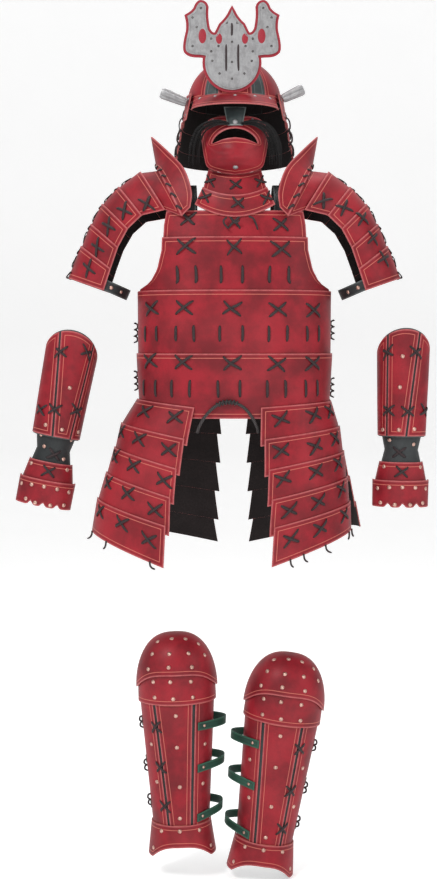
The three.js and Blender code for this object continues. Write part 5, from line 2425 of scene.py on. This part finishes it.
# Where a lame's top edge meets the outer and the inner corner of a tasset, and its depth.
TASSETS = {
    "front_left": (
        (0, 196.8, -414.0, 77.0, -428.0, 133.7),
        (1, 227.0, -462.0, 95.0, -489.0, 142.0),
        (2, 241.0, -511.0, 110.0, -547.0, 150.0),
        (3, 258.0, -562.0, 122.0, -603.0, 158.0),
        (4, 276.0, -614.0, 131.0, -658.0, 166.0),
        (5, 290.0, -682.0, 144.0, -737.0, 177.0),
    ),
    "front_right": (
        (0, 196.8, -418.0, 48.0, -428.0, 133.7),
        (1, 212.0, -469.0, 54.0, -490.0, 140.0),
        (2, 221.0, -519.0, 62.0, -549.0, 147.0),
        (3, 228.0, -571.0, 68.0, -607.0, 154.0),
        (4, 234.0, -621.0, 72.0, -661.0, 160.0),
        (5, 239.0, -678.0, 77.0, -735.0, 168.0),
    ),
    "back": (
        (0, 196.8, -416.0, 30.0, -420.0, 115.4),
        (5, 262.0, -680.0, 42.0, -728.0, 158.0),
    ),
}


@dataclass
class Tassets:
    """Four hanging stacks of five lames, laced together."""

    lames: int = 5
    lap: float = 0.22
    end: float = math.radians(86)
    step: float = 0.028
    back_crosses: Sequence[float] = (0.2, 0.5, 0.8)
    crosses: dict[str, Sequence[Sequence[tuple[float, float]]]] = field(
        default_factory=lambda: {
            "front_left": (
                ((-177, -437), (-117, -447)),
                ((-189, -491), (-130, -510), (-226, -480)),
                ((-199, -543), (-138, -569), (-238, -528)),
                ((-210, -597), (-156, -626), (-252, -580)),
                ((-222, -655), (-168, -684), (-268, -638)),
            ),
            "front_right": (
                ((90, -450), (156, -444), (190, -438)),
                ((90, -511), (158, -505), (200, -492)),
                ((94, -566), (160, -554), (206, -541)),
                ((106, -626), (164, -612), (213, -592)),
                ((110, -682), (168, -664), (219, -644)),
            ),
        }
    )
    hem_loops: dict[str, Sequence[float]] = field(
        default_factory=lambda: {
            "front_left": (0.10, 0.55, 0.90),
            "front_right": (0.12, 0.22, 0.42, 0.80, 0.92),
        }
    )

    def surface(self, table: Sequence[Sequence[float]], side: Side, back: bool) -> Surface:
        """Gives the face of a whole stack, from its waist edge to its hem.

        Args:
            table: the stack's rows.
            side: which side it hangs on.
            back: whether it hangs behind.

        Returns:
            Its face.
        """

        def place(u: float, v: float, proud: float) -> Vector:
            """The point on the stack.

            Args:
                u: the share across.
                v: the share down.
                proud: how far the point stands off the face.

            Returns:
                The point.
            """
            s = self.lames * v
            half_width, outer_z, inner_x, inner_z, depth = (read_row(table, s, k) for k in range(1, 6))
            angle = lerp(oval_angle(inner_x, half_width), self.end, u)
            nominal, _ = oval(angle, half_width, depth)
            x, y = oval(angle, half_width + proud, depth + proud)
            share = (nominal - inner_x) / (half_width - inner_x)
            return Vector((side.value * x, -y if back else y, lerp(inner_z, outer_z, share)))

        return place

    def lame_surface(self, whole: Surface, lame: int) -> Surface:
        """Gives the face of one lame, which juts out a little at its foot.

        Args:
            whole: the face of the stack.
            lame: the lame's number, from 0 at the top.

        Returns:
            Its face.
        """
        sheet = stacked(whole, self.lames, lame, self.lap)

        def place(u: float, v: float, proud: float) -> Vector:
            """The point on the lame."""
            shift = self.step * (0.35 - v)
            return sheet(u + (1 - u) * shift, v, proud)

        return place

    def build(self) -> None:
        """Builds the four stacks."""
        for side in Side:
            for back in (False, True):
                word = "back" if back else "front"
                name = f"tasset_{word}_{side.label}"
                table = TASSETS["back" if back else f"front_{side.label}"]
                whole = self.surface(table, side, back)
                stack = Leatherwork(f"{name}_leather")
                laces = Lacework(f"{name}_laces", seed=81 + side.value + 4 * back)
                for k in range(self.lames):
                    face = rippled(self.lame_surface(whole, k), 0.4, seed=80.0 + 7 * k + side.value)
                    stack.lay(face, 32, 12, Edges.ALL if k == self.lames - 1 else Edges.ARCH)
                    self._lace(laces, face, side, k, back)
                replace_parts(stack.finish("red_leather"), name)
                if not back:
                    self._hem(laces, face, side)
                laces.finish()

    def _lace(self, laces: Lacework, face: Surface, side: Side, lame: int, back: bool) -> None:
        """Laces one lame to the one above it.

        Args:
            laces: the piece that the thongs join.
            face: the lame's face.
            side: which side it hangs on.
            lame: its number, from 0 at the top.
            back: whether it hangs behind.
        """
        if back:
            for u in self.back_crosses:
                laces.cross(face, spot_at(face, u, 0.55))
            return
        for x, z in self.crosses[f"front_{side.label}"][lame]:
            laces.cross(face, find_spot(face, x, z, (0.5, 0.55)), turn=-6 * side.value)

    def _hem(self, laces: Lacework, face: Surface, side: Side) -> None:
        """Adds free thong ends below the hem.

        Args:
            laces: the piece that the thongs join.
            face: the face of the last lame.
            side: which side it hangs on.
        """
        for u in self.hem_loops[f"front_{side.label}"]:
            top = face(u, 0.96, 1.0)
            way = laces.random.uniform(-1, 1)
            drops = ((1.5 * way, -3.0, -8), (6 * way, -2.0, -13), (13 * way, 0.5, -16))
            points = [top] + [top + Vector(drop) for drop in drops]
            laces.tail(points)


@dataclass
class WaistCord:
    """A plied cord in an arch over the gap of the skirt, with a wrapped knot at its top."""

    radius: float = 3.0
    route: Sequence[tuple[float, float, float]] = (
        (-74, -124, -478),
        (-70, -127, -466),
        (-60, -131, -448),
        (-44, -134.7, -430),
        (-28, -134.9, -420),
        (-12, -134.9, -417),
        (4, -134.9, -420),
        (20, -134.9, -430),
        (34, -132.3, -448),
        (43, -127, -466),
        (46, -124, -478),
    )
    steps: int = 72
    wraps: int = 6
    wrap_start: float = 0.36
    wrap_end: float = 0.60
    wrap_radius: float = 1.5
    wrap_sides: int = 14
    wrap_forward: float = 1.2

    def build(self) -> None:
        """Builds the cord and its knot."""
        points = [Vector(point) for point in self.route]
        path = [smooth_curve(points, i / self.steps) * MM for i in range(self.steps + 1)]
        mesh = bmesh.new()
        sweep(mesh, mesh.loops.layers.uv.new("Cut"), path, [self.radius] * len(path), 12)
        cord = emit("waist_cord_plied", mesh, [CORD])
        knot = self._knot(points)
        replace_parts(cord, "waist_cord")
        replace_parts(knot, "waist_cord")
        length = sum((b - a).length for a, b in zip(path, path[1:]))
        tuple(path[0])
        [tuple(point) for point in path]

    def _knot(self, points: Sequence[Vector]) -> bpy.types.Object:
        """Winds a thinner cord round the top of the arch.

        Args:
            points: the points of the arch.

        Returns:
            The finished piece.
        """
        mesh = bmesh.new()
        uv = mesh.loops.layers.uv.new("Cut")
        coil = []
        steps = self.wraps * self.wrap_sides
        for i in range(steps + 1):
            share = lerp(self.wrap_start, self.wrap_end, i / steps)
            middle = smooth_curve(points, share)
            along = (smooth_curve(points, share + 0.01) - smooth_curve(points, share - 0.01)).normalized()
            up = along.cross(Vector((0, 1, 0))).normalized()
            out = up.cross(along)
            turn = 2 * math.pi * self.wraps * i / steps
            reach = self.radius + self.wrap_radius * 0.75
            spoke = up * math.cos(turn) + out * math.sin(turn)
            coil.append((middle + FORWARD * self.wrap_forward + spoke * reach) * MM)
        sweep(mesh, uv, coil, [self.wrap_radius] * len(coil), 6)
        return emit("waist_cord_knot", mesh, [CORD])


@dataclass(frozen=True)
class Plates:
    """Three plates round a limb on a dark layer, with their seams in degrees round the limb."""

    wrap: float
    top: tuple[float, float]
    foot: tuple[float, float]
    start_share: float
    grid: tuple[int, int]
    end_share: float = 0.99
    channel: float = 5.0
    rise: float = 1.9
    thickness: float = 1.6

    def face(self, tube: Surface, rise: float = 0.0) -> Surface:
        """The whole face round the limb, raised off the layer."""
        return lambda u, v, proud: tube(self.wrap * (2 * u - 1), v, proud + rise)

    def plate(self, tube: Surface, number: int) -> Surface:
        """Gives the face of one plate.

        Args:
            tube: the face of the layer, by an angle in degrees and the share down.
            number: the plate's number, from 0 on the left.

        Returns:
            Its face.
        """

        def place(u: float, v: float, proud: float) -> Vector:
            """The point on the plate.

            Args:
                u: the share across.
                v: the share down.
                proud: how far the point stands off the face.

            Returns:
                The point.
            """
            down = lerp(self.start_share, self.end_share, v)
            left, right = (lerp(self.top[k], self.foot[k], down) for k in range(2))
            half = self.channel / 2
            spans = ((-self.wrap, left - half), (left + half, right - half), (right + half, self.wrap))
            return tube(lerp(*spans[number], u), down, proud + self.rise)

        return place


@dataclass(frozen=True)
class LimbPlace:
    """Where a limb guard lies, with the plates and crosses of its own elevation."""

    origin: tuple[float, float, float]
    lean: float
    plates: Plates
    crosses: Sequence[tuple[float, float]]

    def point(self, own: Vector) -> Vector:
        """A point of the guard's own elevation, where the guard lies."""
        return Vector(self.origin) + Matrix.Rotation(math.radians(self.lean), 3, "Y") @ own

    def pose(self, surface: Surface) -> Surface:
        """A face of the guard's own elevation, where the guard lies."""
        return lambda u, v, proud: self.point(surface(u, v, proud))

    def lay(self, name: str, tube: Surface) -> Surface:
        """Lays the dark layer and its three plates.

        Args:
            name: the node that they replace.
            tube: the face of the layer, by an angle in degrees and the share down.

        Returns:
            The face of the plates, in the guard's own elevation.
        """
        sheets = Leatherwork(f"{name}_leather", [STRAP_HIDE, RED_HIDE])
        sheets.lay(self.pose(self.plates.face(tube)), 48, 10, Edges.NONE)
        for number in range(3):
            plate = rippled(self.pose(self.plates.plate(tube, number)), 0.3)
            sheets.lay(plate, *self.plates.grid, Edges.ALL, 1)
        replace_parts(sheets.finish("red_leather", self.plates.thickness, 0.45), name)
        return self.plates.face(tube, self.plates.rise)

    def dress(
        self,
        face: Surface,
        crosses: Sequence[tuple[float, float]],
        studs: Sequence[tuple[float, float]],
        laces: Lacework,
        rivets: Rivetwork,
        size: tuple[float, float] = (27.0, 22.0),
    ) -> None:
        """Laces and rivets a face.

        Args:
            face: the face, in the guard's own elevation.
            crosses: the places (x, z) of its crosses.
            studs: the places (x, z) of its rivets.
            laces: the piece that the thongs join.
            rivets: the piece that the rivets join.
            size: the width and height of a cross.
        """
        there = self.pose(face)
        for x, z in crosses:
            laces.cross(there, find_spot(face, x, z), *size, thong=laces.NARROW)
        for x, z in studs:
            rivets.set(there, find_spot(face, x, z))


@dataclass(frozen=True)
class GauntletPlace(LimbPlace):
    """Where a gauntlet lies, with its laces and rivets in its own elevation."""

    wrist_cross: tuple[float, float]
    hand_cross: tuple[float, float]
    forearm_rivets: Sequence[tuple[float, float]]
    wrist_rivets: Sequence[tuple[float, float]]
    lobes: Sequence[tuple[float, float]]


@dataclass(frozen=True)
class HandPlate:
    """One of the two plates over a hand; the lower one's hem is cut in lobes."""

    name: str
    z: tuple[float, float]
    half: tuple[float, float]
    depth: tuple[float, float]
    lift: float
    rivets: Sequence[tuple[float, float]]
    lobed: bool = False


@dataclass
class Gauntlets:
    """Forearm guards of three plates on a dark layer, dark wrists and two plates over each hand."""

    foot: float = 27.0
    top: float = 247.0
    half: tuple[float, float] = (47.0, 53.0)
    depth: tuple[float, float] = (41.0, 46.0)
    dip: float = 46.0
    # Height, half-width and half-depth of the wrist.
    wrist: Sequence[tuple[float, float, float]] = (
        (60.0, 44.5, 38.5),
        (24.0, 39.0, 34.0),
        (0.0, 34.0, 31.0),
        (-30.0, 41.0, 33.0),
    )
    wrist_thickness: float = 2.0
    hand_wrap: float = 96.0
    hand: Sequence[HandPlate] = (
        HandPlate("hand_upper", (-24.0, -72.0), (44.0, 54.0), (36.0, 38.0), 0.0, ((-37, -34), (37, -34))),
        HandPlate(
            "hand_lower",
            (-61.0, -116.0),
            (54.0, 57.0),
            (38.6, 38.0),
            SHINGLE,
            ((-49, -78), (-27, -75), (-1, -74), (26, -75), (49, -78)),
            lobed=True,
        ),
    )
    notch: float = 8.0
    notch_width: float = 4.5
    places: dict[Side, GauntletPlace] = field(
        default_factory=lambda: {
            Side.LEFT: GauntletPlace(
                origin=(-369, 0, -519),
                lean=11.0,
                plates=Plates(165.0, (-29, 54), (-3, 42), 0.012, (24, 28)),
                crosses=((-17, 199), (33, 207), (-8, 84), (35, 89), (-37, 77)),
                wrist_cross=(6, -7),
                hand_cross=(2, -43),
                forearm_rivets=((14, 132), (-21, 49), (14, 46), (45, 46)),
                wrist_rivets=((-28, 27), (34, 27), (-17, 5), (26, -14)),
                lobes=((-34, -106), (-13, -110), (18, -110), (44, -106)),
            ),
            Side.RIGHT: GauntletPlace(
                origin=(341, 0, -519),
                lean=0.8,
                plates=Plates(165.0, (-42, 31), (-44, 5), 0.012, (24, 28)),
                crosses=((-36, 198), (20, 199), (-32, 80), (6, 80), (42, 81)),
                wrist_cross=(-8, -4),
                hand_cross=(-3, -43),
                forearm_rivets=((-7, 190), (-11, 128), (21, 44), (-41, 41), (-11, 42)),
                wrist_rivets=((-27, 20), (22, 12)),
                lobes=((-43, -107), (-15, -110), (16, -110), (43, -107)),
            ),
        }
    )

    def tube(self, degrees: float, v: float, proud: float) -> Vector:
        """The face of the layer under the plates of a forearm.

        Args:
            degrees: the angle from the middle of the front.
            v: the share down.
            proud: how far the point stands off the face.

        Returns:
            The point.
        """
        angle = math.radians(degrees)
        top = self.top - self.dip * (1 - math.cos(angle))
        z = lerp(top, self.foot, v)
        share = (z - self.foot) / (self.top - self.foot)
        x = (lerp(*self.half, share) + proud) * math.sin(angle)
        return Vector((x, -(lerp(*self.depth, share) + proud) * math.cos(angle), z))

    def wrist_surface(self, u: float, v: float, proud: float) -> Vector:
        """The face of the wrist, a closed band.

        Args:
            u: the share across.
            v: the share down.
            proud: how far the point stands off the face.

        Returns:
            The point.
        """
        angle = 2 * math.pi * u
        z = lerp(self.wrist[0][0], self.wrist[-1][0], v)
        x = (read_row(self.wrist, z, 1) + proud) * math.sin(angle)
        return Vector((x, -(read_row(self.wrist, z, 2) + proud) * math.cos(angle), z))

    def wrist_front(self, u: float, v: float, proud: float) -> Vector:
        """The face of the wrist, with the front in the middle of its width."""
        return self.wrist_surface(u - 0.5, v, proud)

    def hand_surface(self, plate: HandPlate, notches: Sequence[float]) -> Surface:
        """Gives the face of a plate over the hand.

        Args:
            plate: the plate.
            notches: the places of the notches in its hem.

        Returns:
            Its face.
        """

        def place(u: float, v: float, proud: float) -> Vector:
            """The point on the plate.

            Args:
                u: the share across.
                v: the share down.
                proud: how far the point stands off the face.

            Returns:
                The point.
            """
            angle = math.radians(self.hand_wrap) * (2 * u - 1)
            stand = proud + plate.lift * (1 - v)
            x = (lerp(*plate.half, v) + stand) * math.sin(angle)
            y = -(lerp(*plate.depth, v) + stand) * math.cos(angle)
            cut = sum(math.exp(-(((x - notch) / self.notch_width) ** 2)) for notch in notches)
            return Vector((x, y, lerp(*plate.z, v) + self.notch * min(cut, 1) * v**5))

        return place

    def build(self) -> None:
        """Builds both gauntlets."""
        for side, at in self.places.items():
            self._gauntlet(side, at)

    def _gauntlet(self, side: Side, at: GauntletPlace) -> None:
        """Builds one gauntlet where it lies.

        Args:
            side: which side.
            at: its place.
        """
        name = f"gauntlet_{side.label}"
        laces = Lacework(f"{name}_laces", seed=91 + side.value)
        rivets = Rivetwork(f"{name}_rivets")
        forearm = at.lay(f"{name}_forearm", self.tube)
        at.dress(forearm, at.crosses, at.forearm_rivets, laces, rivets)
        wrist = Leatherwork(f"{name}_wrist_leather", [STRAP_HIDE])
        wrist.lay(at.pose(self.wrist_surface), 44, 18, Edges.NONE, cut=Edges.TOP | Edges.FOOT)
        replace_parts(wrist.finish("dark_leather", self.wrist_thickness), f"{name}_wrist")
        at.dress(self.wrist_front, [at.wrist_cross], at.wrist_rivets, laces, rivets)
        notches = [(a[0] + b[0]) / 2 for a, b in zip(at.lobes, at.lobes[1:])]
        for plate in self.hand:
            face = self.hand_surface(plate, notches if plate.lobed else ())
            leather = Leatherwork(f"{name}_{plate.name}_leather")
            leather.lay(rippled(at.pose(face), 0.25), 56, 16, Edges.ARCH)
            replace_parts(leather.finish("red_leather"), f"{name}_{plate.name}")
            crosses = () if plate.lobed else [at.hand_cross]
            studs = [*at.lobes, *plate.rivets] if plate.lobed else plate.rivets
            at.dress(face, crosses, studs, laces, rivets)
        laces.finish()
        rivets.finish()


@dataclass(frozen=True)
class GreavePlace(LimbPlace):
    """Where a greave lies, with the side that its straps loop out on."""

    strap_side: int


@dataclass
class Greaves:
    """Knee caps over a lame, shin guards of three plates, ankle plates and calf straps."""

    shin_top: float = 12.0
    shin_foot: float = -262.0
    shin_half: tuple[float, float] = (75.0, 56.0)
    shin_depth: tuple[float, float] = (61.3, 49.0)
    cap_crown: float = 142.0
    cap_foot: float = 64.0
    cap_ear: float = 30.0
    cap_half: float = 84.0
    cap_depth: float = 74.0
    lame_tuck: float = 14.0
    lame_foot: float = 2.0
    lame_half: tuple[float, float] = (79.6, 80.2)
    lame_depth: tuple[float, float] = (68.6, 67.2)
    knee_wrap: float = 96.0
    ankle_top: float = -250.0
    ankle_foot: float = -292.0
    ankle_side: float = -318.0
    ankle_start: float = 1.15
    ankle_half: tuple[float, float] = (61.5, 70.0)
    ankle_depth: tuple[float, float] = (54.2, 66.0)
    ankle_wrap: float = 100.0
    strap_width: float = 17.0
    strap_thickness: float = 2.4
    strap_stand: float = 2.4
    strap_angles: tuple[float, float] = (34.0, 264.0)
    strap_climb_share: float = 0.33
    strap_slack: float = 25.0
    strap_slack_share: float = 0.62
    # The level of each strap, and how far it climbs on its way round.
    straps: Sequence[tuple[float, float]] = ((-46, 0), (-134, 9), (-238, 18))
    strap_rivet: float = 2.6
    cap_rivets: Sequence[tuple[float, float]] = (
        (-35, 128),
        (-6, 134),
        (22, 132),
        (48, 120),
        (-46, 106),
        (-11, 108),
        (28, 107),
        (60, 98),
        (-55, 76),
        (-13, 82),
        (34, 80),
    )
    lame_rivets: Sequence[tuple[float, float]] = (
        (-46, 50),
        (-11, 51),
        (31, 50),
        (-44, 18),
        (-6, 16),
        (34, 17),
    )
    shin_rivets: Sequence[tuple[float, float]] = (
        (-2, -20),
        (-2, -86),
        (1, -169),
        (-1, -235),
        (-55, -83),
        (-46, -161),
        (55, -86),
        (48, -168),
    )
    ankle_rivets: Sequence[tuple[float, float]] = (
        (-40, -262),
        (-2, -260),
        (38, -262),
        (-58, -300),
        (60, -300),
    )
    loop_levels: Sequence[float] = (-32.0, -44.0, -123.0, -135.0, -196.0, -208.0)
    loop_edge: float = 0.42
    # How far out and how far down a loop passes from the edge.
    loop_route: Sequence[tuple[float, float]] = ((-3, 0), (4, 2), (5, 9), (-2, 13))
    places: dict[Side, GreavePlace] = field(
        default_factory=lambda: {
            Side.LEFT: GreavePlace(
                origin=(-117, 0, -1036),
                lean=-1.8,
                strap_side=1,
                plates=Plates(104.0, (-38, 28), (-24, 23), 0.008, (22, 32)),
                crosses=((-43, -45), (-36, -128), (-31, -211)),
            ),
            Side.RIGHT: GreavePlace(
                origin=(98, 0, -1078),
                lean=8.0,
                strap_side=-1,
                plates=Plates(104.0, (-32, 32), (-21, 33), 0.008, (22, 32)),
                crosses=((42, -44), (36, -133), (30, -214)),
            ),
        }
    )

    def tube(self, degrees: float, v: float, proud: float) -> Vector:
        """The face of the layer under the plates of a shin.

        Args:
            degrees: the angle from the middle of the front.
            v: the share down.
            proud: how far the point stands off the face.

        Returns:
            The point.
        """
        angle = math.radians(degrees)
        x = (lerp(*self.shin_half, v) + proud) * math.sin(angle)
        y = -(lerp(*self.shin_depth, v) + proud) * math.cos(angle)
        return Vector((x, y, lerp(self.shin_top, self.shin_foot, v)))

    def _cap_foot_at(self, angle: float) -> float:
        """The height of the knee cap's edge, which dips to an ear on each side."""
        return lerp(self.cap_foot, self.cap_ear, math.sin(angle) ** 4)

    def cap_surface(self, u: float, v: float, proud: float) -> Vector:
        """The face of the knee cap, a quarter dome.

        Args:
            u: the share across.
            v: the share down.
            proud: how far the point stands off the face.

        Returns:
            The point.
        """
        angle = math.radians(self.knee_wrap) * (2 * u - 1)
        fall = math.pi / 2 * v
        foot = self._cap_foot_at(angle)
        x = (self.cap_half + proud) * math.sin(angle) * math.sin(fall) ** 0.8
        y = -(self.cap_depth + proud) * math.cos(angle) * math.sin(fall) ** 0.8
        return Vector((x, y, foot + (self.cap_crown - foot + proud) * math.cos(fall)))

    def lame_surface(self, u: float, v: float, proud: float) -> Vector:
        """The face of the lame under the knee cap.

        Args:
            u: the share across.
            v: the share down.
            proud: how far the point stands off the face.

        Returns:
            The point.
        """
        angle = math.radians(self.knee_wrap) * (2 * u - 1)
        x = (lerp(*self.lame_half, v) + proud) * math.sin(angle)
        y = -(lerp(*self.lame_depth, v) + proud) * math.cos(angle)
        return Vector((x, y, lerp(self._cap_foot_at(angle) + self.lame_tuck, self.lame_foot, v)))

    def ankle_surface(self, u: float, v: float, proud: float) -> Vector:
        """The face of the ankle plate, with two feet.

        Args:
            u: the share across.
            v: the share down.
            proud: how far the point stands off the face.

        Returns:
            The point.
        """
        angle = math.radians(self.ankle_wrap) * (2 * u - 1)
        share = min(abs(math.sin(angle)) * self.ankle_start, 1) ** 3
        x = (lerp(*self.ankle_half, v) + proud) * math.sin(angle)
        y = -(lerp(*self.ankle_depth, v) + proud) * math.cos(angle)
        return Vector((x, y, lerp(self.ankle_top, lerp(self.ankle_foot, self.ankle_side, share), v)))

    def strap_surface(self, level: float, climb: float, side: int) -> Surface:
        """Gives the face of a strap, which loops wide of the shin guard's edge and behind the leg.

        Args:
            level: the height of its start.
            climb: how far it climbs on its way round.
            side: 1 if it starts on the right, or -1.

        Returns:
            Its face.
        """

        def place(u: float, v: float, proud: float) -> Vector:
            """The point on the strap.

            Args:
                u: the share across.
                v: the share down.
                proud: how far the point stands off the face.

            Returns:
                The point.
            """
            z = level + climb * min(u / self.strap_climb_share, 1) + self.strap_width * (0.5 - v)
            share = (self.shin_top - z) / (self.shin_top - self.shin_foot)
            angle = math.radians(lerp(*self.strap_angles, u))
            slack = self.strap_slack * math.sin(math.pi * min(u / self.strap_slack_share, 1)) ** 2
            stand = self.strap_stand + self.strap_thickness + proud
            x = (lerp(*self.shin_half, share) + stand + slack) * math.sin(angle)
            y = -(lerp(*self.shin_depth, share) + stand) * math.cos(angle)
            return Vector((side * x, y, z))

        return place

    def build(self) -> None:
        """Builds both greaves."""
        for side, at in self.places.items():
            self._greave(side, at)

    def _greave(self, side: Side, at: GreavePlace) -> None:
        """Builds one greave where it lies.

        Args:
            side: which side.
            at: its place.
        """
        name = f"greave_{side.label}"
        laces = Lacework(f"{name}_laces", seed=101 + side.value)
        rivets = Rivetwork(f"{name}_rivets")
        shin = at.lay(f"{name}_shin", self.tube)
        at.dress(shin, at.crosses, self.shin_rivets, laces, rivets, size=(24.0, 24.0))
        self._loops(laces, shin, at)
        for word, surface, studs, scored in (
            ("knee_cap", self.cap_surface, self.cap_rivets, Edges.FOOT | Edges.ENDS),
            ("knee_lame", self.lame_surface, self.lame_rivets, Edges.ALL),
            ("ankle", self.ankle_surface, self.ankle_rivets, Edges.ALL),
        ):
            face = rippled(at.pose(surface), 0.3)
            leather = Leatherwork(f"{name}_{word}_leather")
            leather.lay(face, 56, 16, scored)
            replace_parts(leather.finish("red_leather"), f"{name}_{word}")
            for x, z in studs:
                rivets.set(face, find_spot(surface, x, z))
        for i, (level, climb) in enumerate(self.straps):
            surface = at.pose(self.strap_surface(level, climb, at.strap_side))
            strap = Leatherwork(f"{name}_strap_{i + 1}_leather", [GREEN_HIDE])
            strap.lay(surface, 60, 4, Edges.TOP | Edges.FOOT)
            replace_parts(strap.finish("green_strap", self.strap_thickness, 0.6), f"{name}_strap_{i + 1}")
            rivets.set(surface, spot_at(surface, 0.05, 0.5), self.strap_rivet)
        laces.finish()
        rivets.finish()

    def _loops(self, laces: Lacework, shin: Surface, at: GreavePlace) -> None:
        """Adds the thong loops at the edge away from the straps.

        Args:
            laces: the piece that the thongs join.
            shin: the face of the shin plates.
            at: the greave's place.
        """
        for z in self.loop_levels:
            v = (self.shin_top - z) / (self.shin_top - self.shin_foot)
            edge = shin(0.5 - at.strap_side * self.loop_edge, v, 0.0)
            route = [Vector((-at.strap_side * out, 0, -drop)) for out, drop in self.loop_route]
            laces.tail([at.point(edge + step) for step in route])


@dataclass
class Studio:
    """A pale seamless floor and backdrop, soft lights and the photo's camera."""

    floor: float = -1.405
    width: float = 36.0
    front: float = -16.0
    bend: float = 8.0
    radius: float = 3.0
    wall: float = 9.0
    paper: Colour = (0.88, 0.88, 0.88)
    glow: float = 0.36
    eye: tuple[float, float, float] = (-0.032, -3.0, -0.3)
    target: tuple[float, float, float] = (-0.032, 0.0, -0.499)
    sensor: float = 36.0
    lens: float = 60.33
    steps: int = 24
    # Name, place, target, size and power of each soft light.
    lights: Sequence[tuple[str, Vector, Vector, float, float]] = (
        ("key", Vector((-1.8, -2.6, 2.2)), Vector((0, 0, -0.4)), 1.1, 90.0),
        ("fill", Vector((2.9, -2.2, 0.8)), Vector((0, 0, -0.5)), 1.8, 30.0),
        ("top", Vector((0.2, 0.6, 2.6)), Vector((0, 0, -0.3)), 1.4, 50.0),
        ("low", Vector((0.4, -3.4, -1.0)), Vector((0, 0, -1.1)), 1.4, 12.0),
    )
    world: float = 0.45

    def aim(self) -> None:
        """Sets up the camera at the photo's place."""
        data = bpy.data.cameras.new("photo_camera")
        data.sensor_fit = "VERTICAL"
        data.sensor_height = self.sensor
        data.lens = self.lens
        camera = bpy.data.objects.new("photo_camera", data)
        camera.location = self.eye
        way = Vector(self.target) - Vector(self.eye)
        camera.rotation_euler = way.to_track_quat("-Z", "Y").to_euler()
        bpy.context.scene.collection.objects.link(camera)
        bpy.context.scene.camera = camera

    def light(self) -> None:
        """Adds the backdrop, the lights and the sky, and sets the tone of the picture."""
        mesh = bmesh.new()
        cells = grid_points(mesh, 2, self.steps)
        for (column, row), vert in cells.items():
            vert.co = Vector((self.width * (column / 2 - 0.5), *self._sheet(1 - row / self.steps)))
        data = bpy.data.meshes.new("backdrop")
        for face in mesh.faces:
            face.smooth = True
        mesh.to_mesh(data)
        mesh.free()
        data.materials.append(self._paper())
        backdrop = bpy.data.objects.new("backdrop", data)
        bpy.context.scene.collection.objects.link(backdrop)
        lamps = [self._lamp(*row) for row in self.lights]
        world = bpy.data.worlds.new("studio_sky")
        world.use_nodes = True
        sky = world.node_tree.nodes["Background"]
        sky.inputs["Color"].default_value = (1.0, 1.0, 1.0, 1.0)
        sky.inputs["Strength"].default_value = self.world
        bpy.context.scene.world = world
        bpy.context.scene.view_settings.view_transform = "Standard"

    def _sheet(self, share: float) -> tuple[float, float]:
        """Finds a place on the paper's profile of floor, round bend and wall.

        Args:
            share: how far along the profile, from its front edge.

        Returns:
            The place (y, z).
        """
        flat = self.bend - self.front
        arc = math.pi / 2 * self.radius
        travelled = share * (flat + arc + self.wall)
        if travelled < flat:
            return self.front + travelled, self.floor
        if travelled < flat + arc:
            turn = (travelled - flat) / self.radius
            return self.bend + self.radius * math.sin(turn), self.floor + self.radius * (1 - math.cos(turn))
        return self.bend + self.radius, self.floor + self.radius + travelled - flat - arc

    def _paper(self) -> bpy.types.Material:
        """Makes matt paper with a faint grain.

        Returns:
            Its material.
        """
        graph = Graph("backdrop_paper")
        grain = graph.noise(400.0, 2.0)
        pale = tuple(part * 1.04 for part in self.paper)
        colour = graph.blend(grain, self.paper, pale)
        constants = {
            "Roughness": 0.9,
            "Specular IOR Level": 0.1,
            "Emission Color": (1.0, 1.0, 1.0, 1.0),
            "Emission Strength": self.glow,
        }
        return graph.surface(constants, {"Base Color": colour})

    @staticmethod
    def _lamp(name: str, place: Vector, target: Vector, size: float, power: float) -> bpy.types.Object:
        """Adds one square soft light.

        Args:
            name: its name.
            place: where it stands.
            target: where it points.
            size: the length of its side.
            power: its power, in watts.

        Returns:
            The light.
        """
        data = bpy.data.lights.new(name, "AREA")
        data.size = size
        data.energy = power
        lamp = bpy.data.objects.new(name, data)
        lamp.location = place
        lamp.rotation_euler = (target - place).to_track_quat("-Z", "Y").to_euler()
        bpy.context.scene.collection.objects.link(lamp)
        return lamp


def main() -> None:
    """Sets the camera, builds every part of the set and lights it."""
    logging.basicConfig(level=logging.INFO, format="%(message)s")
    studio = Studio()
    studio.aim()
    WaistCord().build()
    Cuirass().build()
    ThroatGuard().build()
    FaceMask().build()
    Helmet().build()
    Crest().build()
    Shoulders().build()
    Tassets().build()
    Gauntlets().build()
    Greaves().build()
    studio.light()


if __name__ == "__main__":
    main()
